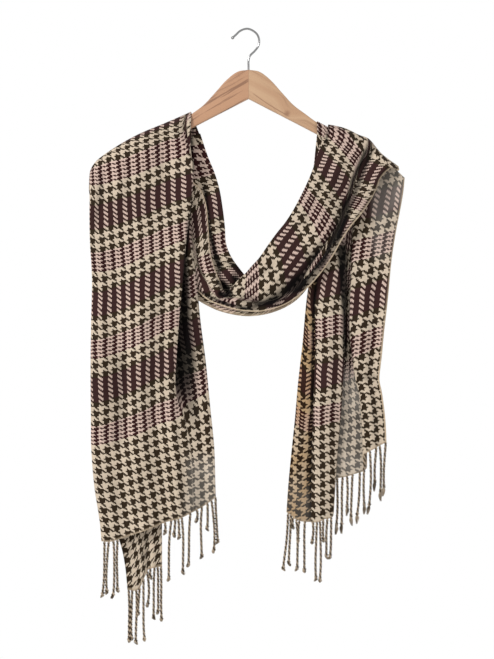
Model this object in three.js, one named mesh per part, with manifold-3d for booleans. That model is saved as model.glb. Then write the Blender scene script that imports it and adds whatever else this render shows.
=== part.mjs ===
// A long woven scarf with twisted fringe, draped over a flat wooden clothes hanger.
// Millimetres, +Z up, +X to the right and -Y to the front. The origin is the inside top of the
// hanger's hook, where a rail carries it.

import * as THREE from "three";
import { mergeVertices } from "three/addons/utils/BufferGeometryUtils.js";
import Module from "manifold-3d";

const wasm = await Module();
wasm.setup();

// Driving sizes of the hanger.
const WOOD_THICKNESS = 12;
const WOOD_EDGE = 1.5;
const CROWN_Z = -57.7;
const ARM_END = 194;
const WIRE_RADIUS = 1.5;
const WIRE_SIDES = 8;
const WIRE_STEPS = 30;
const TIP_BALL_RADIUS = 2.4;
const SOCKET_DEPTH = 18;
const SOCKET_CLEARANCE = 0.35;

// Driving sizes of the cloth.
const CLOTH_THICKNESS = 1.2;
const SEAM_GAP = 0.3;
const LAP_GAP = 2.2;
const DROOP = 4.4;
const DROOP_Y = 2.5;
const FRONT_Y = -16;
const BACK_Y = 10.5;
const SEAT_Y = -7.8;
const FOLD_TURN = 9;
const SOFT_ROOT = 22;
const LEFT_WRAP_BACK = 35;
const LEFT_WRAP_FRONT = 20;
const LEFT_WRAP_SHIFT = 13.5;
const BACK_LAYER_DROP = 22;
const RIGHT_WRAP_START = 114.3;
const LIP_RUN = 8;
const LIP_DROP = 1.6;
const WRAP_TO_TAIL = 55;

// Driving sizes of the fringe.
const STRIP_HEIGHT = 2.4;
const STEP_INSET = 2.4;
const STRAND_RADIUS = 1.5;
const STRAND_SIDES = 3;
const STRAND_STEPS = 2;

// A table has named columns, and the first one is what the others are read against.
const table = (columns, ...rows) => ({ columns, rows });

// Half of the hanger's outline. Each row is one station along the arm.
const ARM = table(
  ["x", "top", "under"],
  [0, -57.7, -99.2],
  [16, -60.6, -107.4],
  [32, -72.8, -115.7],
  [48, -90.6, -123.9],
  [64, -107.8, -132.2],
  [82, -121.4, -141.5],
  [98, -133.0, -150.0],
  [124, -146.3, -164.0],
  [150, -157.6, -176.5],
  [174, -168.6, -189.5],
  [186, -176.6, -197.0],
  [ARM_END, -187.0, -193.5],
);

// The hook's centre line, from its free tip over the crown to the wood.
const HOOK = table(
  ["x", "z"],
  [-22.8, -11.3],
  [-18.7, -7.6],
  [-11.5, -1.2],
  [-1.7, 1.6],
  [6.9, -1.6],
  [12.9, -7.4],
  [15.3, -15.8],
  [13.8, -23.6],
  [9.0, -30.2],
  [2.0, -37.4],
  [0, -44.0],
);

// The crest of the cloth over each arm, as the height of its fold against X.
const LEFT_CREST = table(
  ["x", "z"],
  [-228.5, -214], [-226.2, -200], [-218, -188], [-206, -180.5], [-192, -168], [-179, -160.5],
  [-160, -150.6], [-138, -141], [-110, -129.5], [-82.5, -117.2],
);
const RIGHT_CREST = table(
  ["x", "z"],
  [96, -130], [114, -135.6], [124, -136.5], [145, -143.6], [163, -153], [178, -159.5],
  [188, -174], [200, -187.6], [214.8, -195.6], [221, -201.5], [224.4, -212],
);

// Left tail, front layers: X of the outer fold, of the front layer's fold and of the second
// stretch's edge at each height, the depth of the pleat between them, and how sharp it is.
const LEFT_TAIL = table(
  ["z", "outer", "fold", "second", "pleat", "sharp"],
  [-130, -228.0, -81.5, -84.0, 3, 0.3],
  [-180, -228.0, -78.3, -84.5, 8, 0.6],
  [-211, -228.0, -79.2, -84.0, 14, 1.0],
  [-264, -227.3, -83.9, -82.5, 20, 1.0],
  [-304, -226.6, -89.3, -81.0, 24, 1.0],
  [-357, -223.6, -93.8, -74.5, 26, 1.0],
  [-415, -224.7, -99.3, -69.2, 26, 1.0],
  [-474, -225.6, -103.4, -61.5, 20, 0.9],
  [-505, -225.6, -105.0, -58.4, 12, 0.7],
  [-552, -225.1, -102.0, -53.8, 3, 0.45],
  [-598, -224.7, -97.0, -49.2, 0, 0.35],
  [-654, -220.3, -93.0, -47.4, 0, 0.4],
  [-705, -212.5, -90.0, -45.9, 0, 0.45],
  [-740, -209.5, -88.0, -45.9, 0, 0.45],
);
const LEFT_HEM = table(
  ["x", "z"],
  [-210, -732.7], [-197, -733], [-179, -727], [-161, -720.8], [-142, -715], [-118, -705.4],
  [-97, -699.6], [-82, -692.5], [-67, -685], [-54, -676], [-45, -669.4],
);

// Left tail, back layer: how far its outer edge lies inside the tail's outer fold, its inner edge
// and its depth at each height.
const LEFT_BACK = table(
  ["z", "inset", "inner", "y"],
  [-190, 9.5, -112, -9.4],
  [-220, 9.5, -114, -7.8],
  [-270, 9.5, -119, -4.5],
  [-400, 9.5, -123, -2.5],
  [-550, 9.5, -124, -2.0],
  [-640, 9.8, -124.5, -1.5],
  [-700, 11.5, -124.3, -1.0],
  [-738, 26.5, -124.1, -0.5],
  [-770, 32.5, -124.1, 0],
  [-806, 36.0, -124.1, 0],
);
const LEFT_BACK_HEM = table(
  ["x", "z"],
  [-214, -804], [-173, -804], [-155, -802], [-149, -786], [-143, -775], [-124, -770],
);

// The swag's back layer, from behind the left arm, under the hanger, to the front of the right
// arm. Each row is one section from the outer edge to the inner one, with its depth.
const SWAG_BACK = table(
  ["station", "outerX", "outerZ", "innerX", "innerZ", "y"],
  [0, -223, -231, -69.5, -153.5, 10.5],
  [1, -196, -252, -56, -187, 10.5],
  [2, -165, -284, -44.5, -217, 10.2],
  [3, -138, -313, -38, -250, 10],
  [4, -115, -340, -34, -282, 9.5],
  [5, -99, -361, -31, -312, 9],
  [6, -84, -379, -19, -334, 8.2],
  [7, -66, -392, -4, -353, 7.2],
  [8, -45, -402.3, 6, -362, 6],
  [9, -20, -408.9, 18, -358, 4.5],
  [10, 4, -410.9, 32, -347, 3],
  [11, 30, -406.8, 46, -330, 1.5],
  [12, 54, -397.5, 58, -312, 0],
  [13, 74, -383, 68, -290, -1.2],
  [14, 92, -359, 77, -268, -2.2],
  [15, 106, -330, 84, -246, -3.4],
  [16, 118, -298, 89, -223, -5.2],
  [17, 127, -262, 92.5, -203, -7.8],
  [18, 133, -226, 94.5, -184, -9.4],
  [19, 136, -196, 96.5, -165, -9.6],
  [20, 138, -170, 98, -148, -9.6],
);

// The swag's front layer, from behind the left arm along the bottom to the right shoulder. The
// valley is the place of the deep pleat across the width, with its depth, and the lip is how far
// the inner edge turns under.
const SWAG_FRONT = table(
  ["station", "outerX", "outerZ", "innerX", "innerZ", "y", "bulge", "valley", "trough", "lip"],
  [0, -196, -219, -116, -174, 7.4, 0, 0.5, 0, 1],
  [1, -170, -245, -95, -200, 6.6, 0.5, 0.5, 0, 2],
  [2, -143, -270, -79, -219, 6.2, 1, 0.5, 0, 3],
  [3, -122, -292, -66.5, -233, 5.4, 1.5, 0.5, 0, 3],
  [4, -108, -314, -60, -258, 4.6, 2, 0.5, 0, 3],
  [5, -99, -334, -58, -287, 3.6, 2.5, 0.5, 0, 3],
  [6, -91, -350, -55.5, -314, 2.6, 3, 0.5, 0, 3],
  [7, -83, -363, -51, -337, 1.6, 3, 0.5, 0, 3],
  [8, -73.4, -374.5, -43, -356, 0.6, 3, 0.5, 0, 3],
  [9, -63.5, -384, -37.5, -370, -0.4, 2, 0.5, 0, 2.5],
  [10, -54, -390, -32.4, -379, -1.4, 1.5, 0.5, 0, 2],
  [11, -40, -395.5, -26.5, -372.5, -2.6, 2, 0.5, 0, 3],
  [12, -25, -400.3, -16.5, -361, -3.8, 3, 0.6, 0, 5],
  [13, -4, -403.6, -5, -350.5, -5, 4, 0.7, 0.5, 7],
  [14, 21, -403.6, 5, -339, -6, 4.5, 0.8, 1, 8],
  [15, 59, -391, 17.5, -325, -7, 5, 0.86, 2, 9],
  [16, 88, -367, 31.7, -304, -8, 5, 0.85, 3, 10],
  [17, 109, -342, 44.5, -287, -9, 5, 0.83, 4, 10],
  [18, 127, -314.5, 56.5, -272, -9.8, 5, 0.86, 4, 10],
  [19, 141, -289, 68.3, -252, -10.8, 5, 0.84, 4, 10],
  [20, 156, -272, 76, -237, -11.8, 4.5, 0.74, 4.5, 10],
  [21, 167, -257, 83.4, -222, -12.8, 4, 0.67, 4.5, 9],
  [22, 176, -243, 90, -206.5, -13.8, 3.5, 0.64, 4, 8],
  [23, 182.5, -230, 95.5, -191, -14.8, 3, 0.62, 4, 7],
  [24, 187.5, -216, 100, -176, -15.2, 2.5, 0.63, 3.5, 6],
  [25, 196, -205, 105, -162.5, -15.2, 2, 0.61, 3, 5],
  [26, 205, -199, 110.5, -151.5, -14.6, 1.5, 0.59, 2, 4],
);

// Right tail: X of its fold lines at each height. The first column is its left outline, and the
// next ones are the edges of the bright middle column, of the set-back one and of the outer one.
const RIGHT_TAIL = table(
  ["z", "left", "brightLeft", "brightRight", "outerLeft", "right", "pleat"],
  [-150, 100, 116, 140, 158, 224.2, 0],
  [-214, 100, 115, 140, 156, 224.2, 2],
  [-250, 99, 113, 140, 153, 219.6, 4],
  [-284, 97, 110, 140, 150, 213, 6],
  [-330, 92, 103, 139, 148, 205.8, 8],
  [-388, 83.4, 95.9, 137.9, 146.5, 200.2, 10],
  [-436, 79, 96.5, 137.9, 145.7, 194.6, 12],
  [-475, 75, 96, 136.6, 150.2, 191, 12],
  [-500, 71.8, 95, 135.5, 153.6, 188, 12],
  [-522, 70, 94, 134, 159.6, 192, 12],
  [-561, 66.5, 92.7, 131.6, 162.9, 196.8, 12],
  [-606, 61.8, 91.5, 127.3, 164.3, 198.6, 11],
  [-653, 57.3, 90.7, 124.1, 164.3, 198.6, 10],
  [-710, 53.5, 90, 120.6, 164.3, 198.6, 9],
);
const RIGHT_HEM_LEFT = table(
  ["x", "z"],
  [53, -689], [57.3, -697], [68, -703.4], [82, -706.8], [97, -707.5], [109, -703], [122, -698.6],
);
const RIGHT_HEM_MIDDLE = table(["x", "z"], [118, -649], [131, -648.6], [142, -642], [153, -630]);
const RIGHT_HEM_RIGHT = table(
  ["x", "z"], [153, -620], [164, -612.5], [171, -607.6], [183, -600], [199, -592],
);

// Strands of the fringe: where each leaves the hem, where its end hangs, and its sideways bow.
const LEFT_FRONT_STRANDS = table(
  ["root", "tip", "end", "bow"],
  [-206, -208.8, -813.6, 1], [-199.6, -202, -809, -2], [-193, -194.4, -815, 2],
  [-187.2, -187.2, -806.5, -1], [-119.8, -119.8, -724.6, 1], [-110.5, -113.4, -790.7, -2],
  [-104.5, -106.9, -727.5, 0], [-100.4, -99.7, -730.4, 1], [-95.4, -94.7, -780.6, 2],
  [-83.2, -85.4, -770.6, -1], [-73.9, -74.6, -707.5, 1], [-66.7, -66, -759, -2],
  [-58.8, -60.2, -718.9, 1], [-53, -49.5, -750.5, 2], [-47.2, -43, -737.6, -1],
);
const LEFT_BACK_STRANDS = table(
  ["root", "tip", "end", "bow"],
  [-172, -172, -879.6, 1], [-166.8, -167.5, -876.8, -1], [-161, -162.6, -882.5, 1],
  [-156, -157.9, -842, -1], [-150.5, -149, -878, -1], [-145.6, -144.9, -829.4, 2],
  [-141, -141.3, -789.3, 0], [-134.9, -135.6, -846.7, -1], [-130.5, -130.6, -839.5, 1],
  [-125.6, -125, -849.5, 0],
);
const RIGHT_LEFT_STRANDS = table(
  ["root", "tip", "end", "bow"],
  [57, 49.5, -777.8, 1], [60.5, 56.7, -770.6, 1], [64, 62.4, -717.5, 0], [68.6, 69, -777.8, 2],
  [73, 71.8, -736.2, -1], [81, 81, -780.6, -1], [92.6, 91.2, -739, 1], [98.3, 96.9, -792, -1],
  [102.6, 102.6, -793.6, 1], [107.3, 106.9, -736.2, 0], [113.4, 111.9, -760.5, -1],
  [118.6, 116.5, -760.5, 1],
);
const RIGHT_MIDDLE_STRANDS = table(
  ["root", "tip", "end", "bow"],
  [127.7, 126.3, -726, 1], [135.6, 134.9, -724.7, -1], [142, 141.5, -699, 1],
  [150, 148.5, -713.2, -1], [160.5, 155.5, -710.3, 1],
);
const RIGHT_OUTER_STRANDS = table(
  ["root", "tip", "end", "bow"],
  [167.2, 166.4, -696, -1], [174.4, 172.6, -696, 2],
  [183.7, 181.5, -663, -1], [188.7, 188.7, -677.3, 2], [197.3, 194.4, -670.1, -1],
);

// A smooth value of one column at x: cubic pieces whose slopes come from the rows beside them.
function follow(source, name) {
  const rows = [...source.rows].sort((a, b) => a[0] - b[0]);
  const at = rows.map((row) => row[0]);
  const value = rows.map((row) => row[source.columns.indexOf(name)]);
  const last = rows.length - 1;
  const slope = (k) => {
    const low = Math.max(k - 1, 0);
    const high = Math.min(k + 1, last);
    return (value[high] - value[low]) / (at[high] - at[low]);
  };
  return (x) => {
    const clamped = THREE.MathUtils.clamp(x, at[0], at[last]);
    let k = 0;
    while (k < last - 1 && clamped > at[k + 1]) k += 1;
    const width = at[k + 1] - at[k];
    const t = (clamped - at[k]) / width;
    const t2 = t * t;
    const t3 = t2 * t;
    return (2 * t3 - 3 * t2 + 1) * value[k] + (t3 - 2 * t2 + t) * width * slope(k)
      + (3 * t2 - 2 * t3) * value[k + 1] + (t3 - t2) * width * slope(k + 1);
  };
}

const mix = THREE.MathUtils.lerp;
const ease = (x, low, high) => THREE.MathUtils.smoothstep(x, low, high);
const point = (x, y, z) => new THREE.Vector3(x, y, z);

// The points of one section: a smooth curve through its fold points, with the given number of
// steps in each gap between them.
function sectionPoints(folds, steps) {
  const curve = new THREE.CatmullRomCurve3(folds, false, "centripetal");
  const gaps = folds.length - 1;
  const points = [folds[0].clone()];
  for (let gap = 0; gap < gaps; gap += 1) {
    for (let step = 1; step <= steps[gap]; step += 1) {
      points.push(curve.getPoint((gap + step / steps[gap]) / gaps));
    }
  }
  return points;
}

// A closed wall on a grid of middle points: each point is moved half the thickness to both
// sides of the surface, and the two faces are joined along the four borders.
function wall(grid, thickness = CLOTH_THICKNESS) {
  const rows = grid.length;
  const columns = grid[0].length;
  const across = new THREE.Vector3();
  const along = new THREE.Vector3();
  const sides = [1, -1].map((sign) => grid.map((row, r) => row.map((middle, c) => {
    across.subVectors(row[Math.min(c + 1, columns - 1)], row[Math.max(c - 1, 0)]);
    along.subVectors(grid[Math.min(r + 1, rows - 1)][c], grid[Math.max(r - 1, 0)][c]);
    const normal = new THREE.Vector3().crossVectors(along, across).normalize();
    return middle.clone().addScaledVector(normal, sign * thickness / 2);
  })));
  const positions = sides.flatMap((side) => side.flatMap((row) => row.flatMap((p) => p.toArray())));
  const index = (side, r, c) => (side * rows + r) * columns + c;
  const faces = [];
  const quad = (a, b, c, d) => faces.push(a, b, c, a, c, d);
  for (let r = 0; r < rows - 1; r += 1) {
    for (let c = 0; c < columns - 1; c += 1) {
      quad(index(0, r, c), index(0, r + 1, c), index(0, r + 1, c + 1), index(0, r, c + 1));
      quad(index(1, r, c), index(1, r, c + 1), index(1, r + 1, c + 1), index(1, r + 1, c));
    }
    quad(index(0, r, 0), index(1, r, 0), index(1, r + 1, 0), index(0, r + 1, 0));
    const end = columns - 1;
    quad(index(0, r, end), index(0, r + 1, end), index(1, r + 1, end), index(1, r, end));
  }
  for (let c = 0; c < columns - 1; c += 1) {
    quad(index(0, 0, c), index(0, 0, c + 1), index(1, 0, c + 1), index(1, 0, c));
    const end = rows - 1;
    quad(index(0, end, c), index(1, end, c), index(1, end, c + 1), index(0, end, c + 1));
  }
  const geometry = new THREE.BufferGeometry();
  geometry.setAttribute("position", new THREE.Float32BufferAttribute(positions, 3));
  geometry.setIndex(faces);
  return geometry;
}

// The solid of a closed geometry, for cutting and joining.
function solid(geometry) {
  const bare = geometry.clone();
  bare.deleteAttribute("normal");
  bare.deleteAttribute("uv");
  const merged = mergeVertices(bare, 1e-4);
  return new wasm.Manifold(new wasm.Mesh({
    numProp: 3,
    vertProperties: new Float32Array(merged.attributes.position.array),
    triVerts: new Uint32Array(merged.index.array),
  }));
}

function geometryOf(body) {
  const mesh = body.getMesh();
  const geometry = new THREE.BufferGeometry();
  geometry.setAttribute("position", new THREE.BufferAttribute(mesh.vertProperties, 3));
  geometry.setIndex(new THREE.BufferAttribute(mesh.triVerts, 1));
  return geometry;
}

// A polygon of the given number of sides, swept along a path.
function rod(path, radius, sides, steps) {
  const section = new THREE.Shape();
  for (let k = 0; k < sides; k += 1) {
    const angle = 2 * Math.PI * k / sides;
    const corner = [radius * Math.cos(angle), radius * Math.sin(angle)];
    if (k === 0) section.moveTo(...corner);
    else section.lineTo(...corner);
  }
  section.closePath();
  return new THREE.ExtrudeGeometry(section, { steps, extrudePath: path, bevelEnabled: false });
}

// The wooden hanger: its outline, extruded with softened edges, with a socket for the wire.
function hangerBody() {
  const top = ARM.rows.map(([x, high]) => [x, high]);
  const under = ARM.rows.map(([x, , low]) => [x, low]);
  const right = [...top, ...under.slice(1).reverse()];
  const left = [...under.slice(1), ...top.slice(1).reverse()].map(([x, z]) => [-x, z]);
  const notch = [[0, ARM.rows[0][2]]];
  const inset = WOOD_EDGE;
  const outline = new THREE.Shape([...right, ...notch, ...left].map(([x, z]) => new THREE.Vector2(x, z)));
  const geometry = new THREE.ExtrudeGeometry(outline, {
    depth: WOOD_THICKNESS - 2 * inset,
    bevelEnabled: true,
    bevelThickness: inset,
    bevelSize: inset,
    bevelOffset: -inset,
    bevelSegments: 1,
  });
  geometry.translate(0, 0, -WOOD_THICKNESS / 2 + inset);
  geometry.rotateX(Math.PI / 2);
  const socketTop = CROWN_Z + 2;
  const socketRadius = WIRE_RADIUS + SOCKET_CLEARANCE;
  const socket = new THREE.CylinderGeometry(socketRadius, socketRadius, SOCKET_DEPTH + 2, WIRE_SIDES);
  socket.rotateX(Math.PI / 2);
  socket.translate(0, 0, socketTop - (SOCKET_DEPTH + 2) / 2);
  return geometryOf(solid(geometry).subtract(solid(socket)));
}

// The steel hook: a bent wire with a small ball at its free tip, seated in the socket.
function hangerHook() {
  const bend = HOOK.rows.map(([x, z]) => point(x, 0, z));
  const foot = CROWN_Z - SOCKET_DEPTH + SEAM_GAP;
  const path = new THREE.CatmullRomCurve3(
    [...bend, point(0, 0, -52), point(0, 0, mix(-52, foot, 0.5)), point(0, 0, foot)],
    false,
    "centripetal",
  );
  const wire = solid(rod(path, WIRE_RADIUS, WIRE_SIDES, WIRE_STEPS));
  const ball = new THREE.SphereGeometry(TIP_BALL_RADIUS, WIRE_SIDES, 6);
  ball.translate(bend[0].x, bend[0].y, bend[0].z);
  return geometryOf(wire.add(solid(ball)));
}

// Rows of a wrap over an arm: how far each lies below the crest, and its depth.
const LEFT_WRAP = table(
  ["drop", "y"],
  [-LEFT_WRAP_BACK, BACK_Y], [-19, BACK_Y], [-7, 9.4], [-1.6, 5], [0, -1], [-2.2, -8],
  [-9, -13.4], [-LEFT_WRAP_FRONT, -15.6],
);
const RIGHT_WRAP = table(
  ["drop", "y"], [-6.5, -13.2], [-1.8, -8.5], [0, -1.5], [-1.2, 5], [-5, 9.3], [-10, BACK_Y],
);

// How far each fold of the right wrap lies along the crest from its start. The first one is the
// lip, turned under the next.
const RIGHT_WRAP_RUNS = [LIP_RUN, 0, 24, 44, 58, 76, 100.5];

// The heights at which the tails' fold lines are read for the X of their tops and hems.
const LEFT_HEM_LEVEL = -700;
const LEFT_BACK_TOP_LEVEL = -190;
const LEFT_BACK_HEM_LEVEL = -800;
const RIGHT_TOP_LEVEL = -160;
const RIGHT_HEM_LEVEL = -690;

// Rows of each cloth, from its top or start to its hem or end.
const LEFT_TAIL_LEVELS = 22;
const LEFT_BACK_LEVELS = 17;
const SWAG_BACK_STATION = 0.8;
const SWAG_BACK_END = 20;
const SWAG_FRONT_END = 26;
const SWAG_FRONT_ROWS = 28;
const RIGHT_TAIL_LEVELS = 21;

// Where the folds of the left tail lie along the crest of the arm, from left to right.
const CREST_SPREAD = [-228, -226.5, -219, -196, -160, -124, -101, -96, -93.6, -91.3, -89, -86, -82.5];
const LEFT_TAIL_STEPS = [1, 2, 2, 2, 2, 2, 2, 1, 1, 2, 1, 2];

// One level of the left tail's front cloth, as fold points from the turned outer fold across the
// front layer, round its fold into the pleat, and out to the second stretch's edge.
function leftTailFolds(column, z) {
  const at = (name) => follow(LEFT_TAIL, name)(z);
  const [outer, fold, second, pleat, sharp] = ["outer", "fold", "second", "pleat", "sharp"].map(at);
  const soft = 1 - sharp;
  const wave = ease(-z, 260, 560);
  const root = fold - pleat + SOFT_ROOT * soft;
  return [
    [outer + FOLD_TURN, FRONT_Y + 8],
    [outer, FRONT_Y + 4],
    [outer + 12, FRONT_Y],
    [mix(outer, fold, 0.3), FRONT_Y + 1.2 + 4.2 * wave],
    [mix(outer, fold, 0.52), FRONT_Y + 0.4 - 3.6 * wave],
    [mix(outer, fold, 0.76), FRONT_Y + 1 + 4.6 * wave],
    [fold - FOLD_TURN, FRONT_Y - 1.6 - 2 * wave],
    [fold, FRONT_Y + 1.6],
    [mix(fold, root, 0.6), FRONT_Y + 4.6 * sharp + 2.5 * soft],
    [root, FRONT_Y + 7 * sharp + 3 * soft],
    [mix(root, second, 0.45), FRONT_Y + 9.4 * sharp + 2 * soft],
    [second - 6, FRONT_Y + 8 * sharp + 1.5 * soft],
    [second, FRONT_Y + 9.6 * sharp + 4 * soft],
  ][column];
}

// The left tail's front: behind the arm, over its crest, and down to the slanting hem.
function leftTailGrid() {
  const crest = follow(LEFT_CREST, "z");
  const hem = follow(LEFT_HEM, "z");
  const rows = [];
  for (const [drop, y] of LEFT_WRAP.rows) {
    const behind = y > 0 ? -drop / LEFT_WRAP_BACK : 0;
    rows.push(CREST_SPREAD.map((x, k) => {
      const inward = LEFT_WRAP_SHIFT * behind * (k / (CREST_SPREAD.length - 1)) ** 2;
      const below = crest(x) + drop - CLOTH_THICKNESS / 2;
      const reach = y < 0 ? (leftTailFolds(k, below)[1] / FRONT_Y) : 1;
      return point(x + inward, y * reach, below);
    }));
  }
  for (let level = 1; level <= LEFT_TAIL_LEVELS; level += 1) {
    const share = level / LEFT_TAIL_LEVELS;
    rows.push(CREST_SPREAD.map((x, k) => {
      const start = crest(x) - LEFT_WRAP_FRONT;
      const end = hem(leftTailFolds(k, LEFT_HEM_LEVEL)[0]);
      const z = mix(start, end, share);
      const [foldX, foldY] = leftTailFolds(k, z);
      const settled = ease(start - z, 0, WRAP_TO_TAIL);
      return point(mix(x, foldX, settled), foldY, z);
    }));
  }
  return rows.map((folds) => sectionPoints(folds, LEFT_TAIL_STEPS));
}

// The height at the given X along a finished row of points.
function heightAlong(row, x) {
  const sorted = [...row].sort((a, b) => a.x - b.x);
  const held = THREE.MathUtils.clamp(x, sorted[0].x, sorted[sorted.length - 1].x);
  const next = Math.max(1, sorted.findIndex((p) => p.x >= held));
  const [low, high] = [sorted[next - 1], sorted[next]];
  return mix(low.z, high.z, (held - low.x) / (high.x - low.x));
}

// The left tail's back layer, from the front of the arm to its lower corner.
function leftBackGrid() {
  const hem = follow(LEFT_BACK_HEM, "z");
  const shares = [0, 0.1, 0.3, 0.5, 0.62, 0.74, 0.88, 1];
  const ripple = [0, -0.6, 1.4, -0.8, 2.6, -1.6, 1.2, 0];
  const rows = [];
  for (let level = 0; level <= LEFT_BACK_LEVELS; level += 1) {
    rows.push(shares.map((share, k) => {
      const outer = (z) => follow(LEFT_TAIL, "outer")(z) + follow(LEFT_BACK, "inset")(z);
      const place = (z) => mix(outer(z), follow(LEFT_BACK, "inner")(z), share);
      const top = follow(LEFT_CREST, "z")(place(LEFT_BACK_TOP_LEVEL)) - BACK_LAYER_DROP;
      const z = mix(top, hem(place(LEFT_BACK_HEM_LEVEL)), level / LEFT_BACK_LEVELS);
      const wave = ease(-z, 240, 700);
      const depth = follow(LEFT_BACK, "y")(z) + ripple[k] * wave;
      const joined = k === 0 ? 1 - ease(-z, 690, 750) : 0;
      return point(place(z), mix(depth, SEAT_Y, joined), z);
    }));
  }
  return rows.map((folds) => sectionPoints(folds, [1, 1, 1, 1, 1, 1, 1]));
}

// The swag's back layer: a plain curved band that starts under the left wrap's edge and ends just
// over the right arm.
function swagBackGrid(leftWrapEdge) {
  const shares = [0, 0.12, 0.36, 0.64, 0.88, 1];
  const crown = [1.2, -0.4, -1.4, 1.2, -0.8, 0.6];
  const station = (s) => {
    const at = (name) => follow(SWAG_BACK, name)(s);
    return shares.map((share, k) => point(
      mix(at("outerX"), at("innerX"), share),
      at("y") + crown[k] * ease(s, 0.5, 4) * (1 - ease(s, 14, 18)),
      mix(at("outerZ"), at("innerZ"), share),
    ));
  };
  const rows = [station(0).map(({ x, y }) => point(x, y, heightAlong(leftWrapEdge, x) - 2 * SEAM_GAP))];
  for (let s = SWAG_BACK_STATION; s <= SWAG_BACK_END; s += SWAG_BACK_STATION) rows.push(station(s));
  const armTop = follow(ARM, "top");
  const last = rows[rows.length - 1];
  rows.push(last.map(({ x }) => point(x, -9.2, armTop(x) - 4)));
  rows.push(last.map(({ x }) => point(x, -7.4, armTop(x) + 0.9)));
  rows.push(last.map(({ x }) => point(x, -4.2, armTop(x) + 1.5)));
  return rows.map((folds) => sectionPoints(folds, [1, 2, 2, 2, 1]));
}

// The swag's front layer: inner edge turned under, a full front, the deep pleat beside the outer
// edge, and at its upper end the wrap over the right arm.
function swagFrontGrid() {
  const steps = [1, 2, 2, 2, 2, 2, 2];
  const crest = follow(RIGHT_CREST, "z");
  const foldsAt = (s) => {
    const at = (name) => follow(SWAG_FRONT, name)(s);
    const inner = point(at("innerX"), 0, at("innerZ"));
    const outer = point(at("outerX"), 0, at("outerZ"));
    const width = inner.distanceTo(outer);
    const valley = at("valley");
    const shares = [
      at("lip") / width, 0, valley * 0.3, valley * 0.72, valley, mix(valley, 1, 0.45), 1,
    ];
    const bulge = at("bulge");
    const trough = at("trough");
    const turn = Math.min(1, at("lip") / 6);
    const depths = [3.2 * turn + 0.8, 1.2, -bulge, -bulge * 0.7, trough, -bulge * 0.4, 1];
    return shares.map((share, k) => {
      const place = inner.clone().lerp(outer, share);
      return point(place.x, at("y") + depths[k], place.z);
    });
  };
  const rows = [];
  const stride = SWAG_FRONT_END / SWAG_FRONT_ROWS;
  for (let s = 0; s <= SWAG_FRONT_END; s += stride) rows.push(foldsAt(s));
  for (const [drop, y] of RIGHT_WRAP.rows) {
    rows.push(RIGHT_WRAP_RUNS.map((run) => point(
      RIGHT_WRAP_START + run,
      y,
      crest(RIGHT_WRAP_START + run) + drop - CLOTH_THICKNESS / 2 - (run === LIP_RUN ? LIP_DROP : 0),
    )));
  }
  return rows.map((folds) => sectionPoints(folds, steps));
}

// One level of the right tail as fold points from its left outline to its right edge.
function rightTailFolds(z) {
  const at = (name) => follow(RIGHT_TAIL, name)(z);
  const [left, brightLeft, brightRight, outerLeft, right, pleat] =
    ["left", "brightLeft", "brightRight", "outerLeft", "right", "pleat"].map(at);
  const deep = pleat / 12;
  return [
    [left, 9.5 - 1 * deep, "left"],
    [mix(left, brightLeft, 0.5), 9.6 - 4 * deep, "left"],
    [brightLeft + pleat * 0.9, 10 + 4.5 * deep, "left"],
    [brightLeft, 10.4 - 4 * deep, "left"],
    [mix(brightLeft, brightRight, 0.3), 10.5 - 10 * deep, "left"],
    [mix(brightLeft, brightRight, 0.7), 10.5 - 9 * deep, "left"],
    [brightRight, 10.5 - 4 * deep, "left"],
    [brightRight - pleat * 0.4, 11 + 3.5 * deep, "middle"],
    [mix(brightRight, outerLeft, 0.5), 11 + 6 * deep, "middle"],
    [outerLeft + pleat * 0.55, 11 + 5.6 * deep, "middle"],
    [outerLeft, 10.6 - 0.5 * deep, "right"],
    [mix(outerLeft, right, 0.4), 10.5 - 6.6 * deep, "right"],
    [mix(outerLeft, right, 0.72), 10.5 - 1 * deep, "right"],
    [right, 10.2 - 4 * deep, "right"],
  ];
}

// The right tail: from the right wrap's edge down to the stepped hem, pleated into four columns.
// Beyond that edge it hangs from the crest's drooping end.
function rightTailGrid(rightWrapEdge) {
  const crest = follow(RIGHT_CREST, "z");
  const wrapEnd = Math.max(...rightWrapEdge.map((p) => p.x));
  const hems = { left: RIGHT_HEM_LEFT, middle: RIGHT_HEM_MIDDLE, right: RIGHT_HEM_RIGHT };
  const ends = rightTailFolds(RIGHT_HEM_LEVEL).map(([x, , part]) => follow(hems[part], "z")(x));
  const rows = [];
  for (let level = 0; level <= RIGHT_TAIL_LEVELS; level += 1) {
    const share = level / RIGHT_TAIL_LEVELS;
    rows.push(ends.map((end, k) => {
      const topX = rightTailFolds(RIGHT_TOP_LEVEL)[k][0];
      const pastArm = ease(topX, ARM_END - 8, ARM_END + 6);
      const underWrap = crest(topX) - mix(DROOP, CLOTH_THICKNESS / 2, ease(topX, wrapEnd, wrapEnd + 6));
      const top = mix(heightAlong(rightWrapEdge, topX) - LAP_GAP, underWrap, pastArm);
      const z = mix(top, end, share);
      const [x, y] = rightTailFolds(z)[k];
      const topY = mix(BACK_Y, DROOP_Y, pastArm);
      return point(x, mix(topY, y, ease(share, 0.02, 0.2)), z);
    }));
  }
  return rows.map((folds) => sectionPoints(folds, [1, 2, 1, 2, 2, 2, 1, 2, 2, 1, 2, 2, 2]));
}

// The narrow strip under a hem: the cloth's last row, carried straight down below a gap.
function hemStrip(hem) {
  const below = (gap) => hem.map((p) => point(p.x, p.y, p.z - gap));
  return wall([below(SEAM_GAP), below(SEAM_GAP + STRIP_HEIGHT)]);
}

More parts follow.
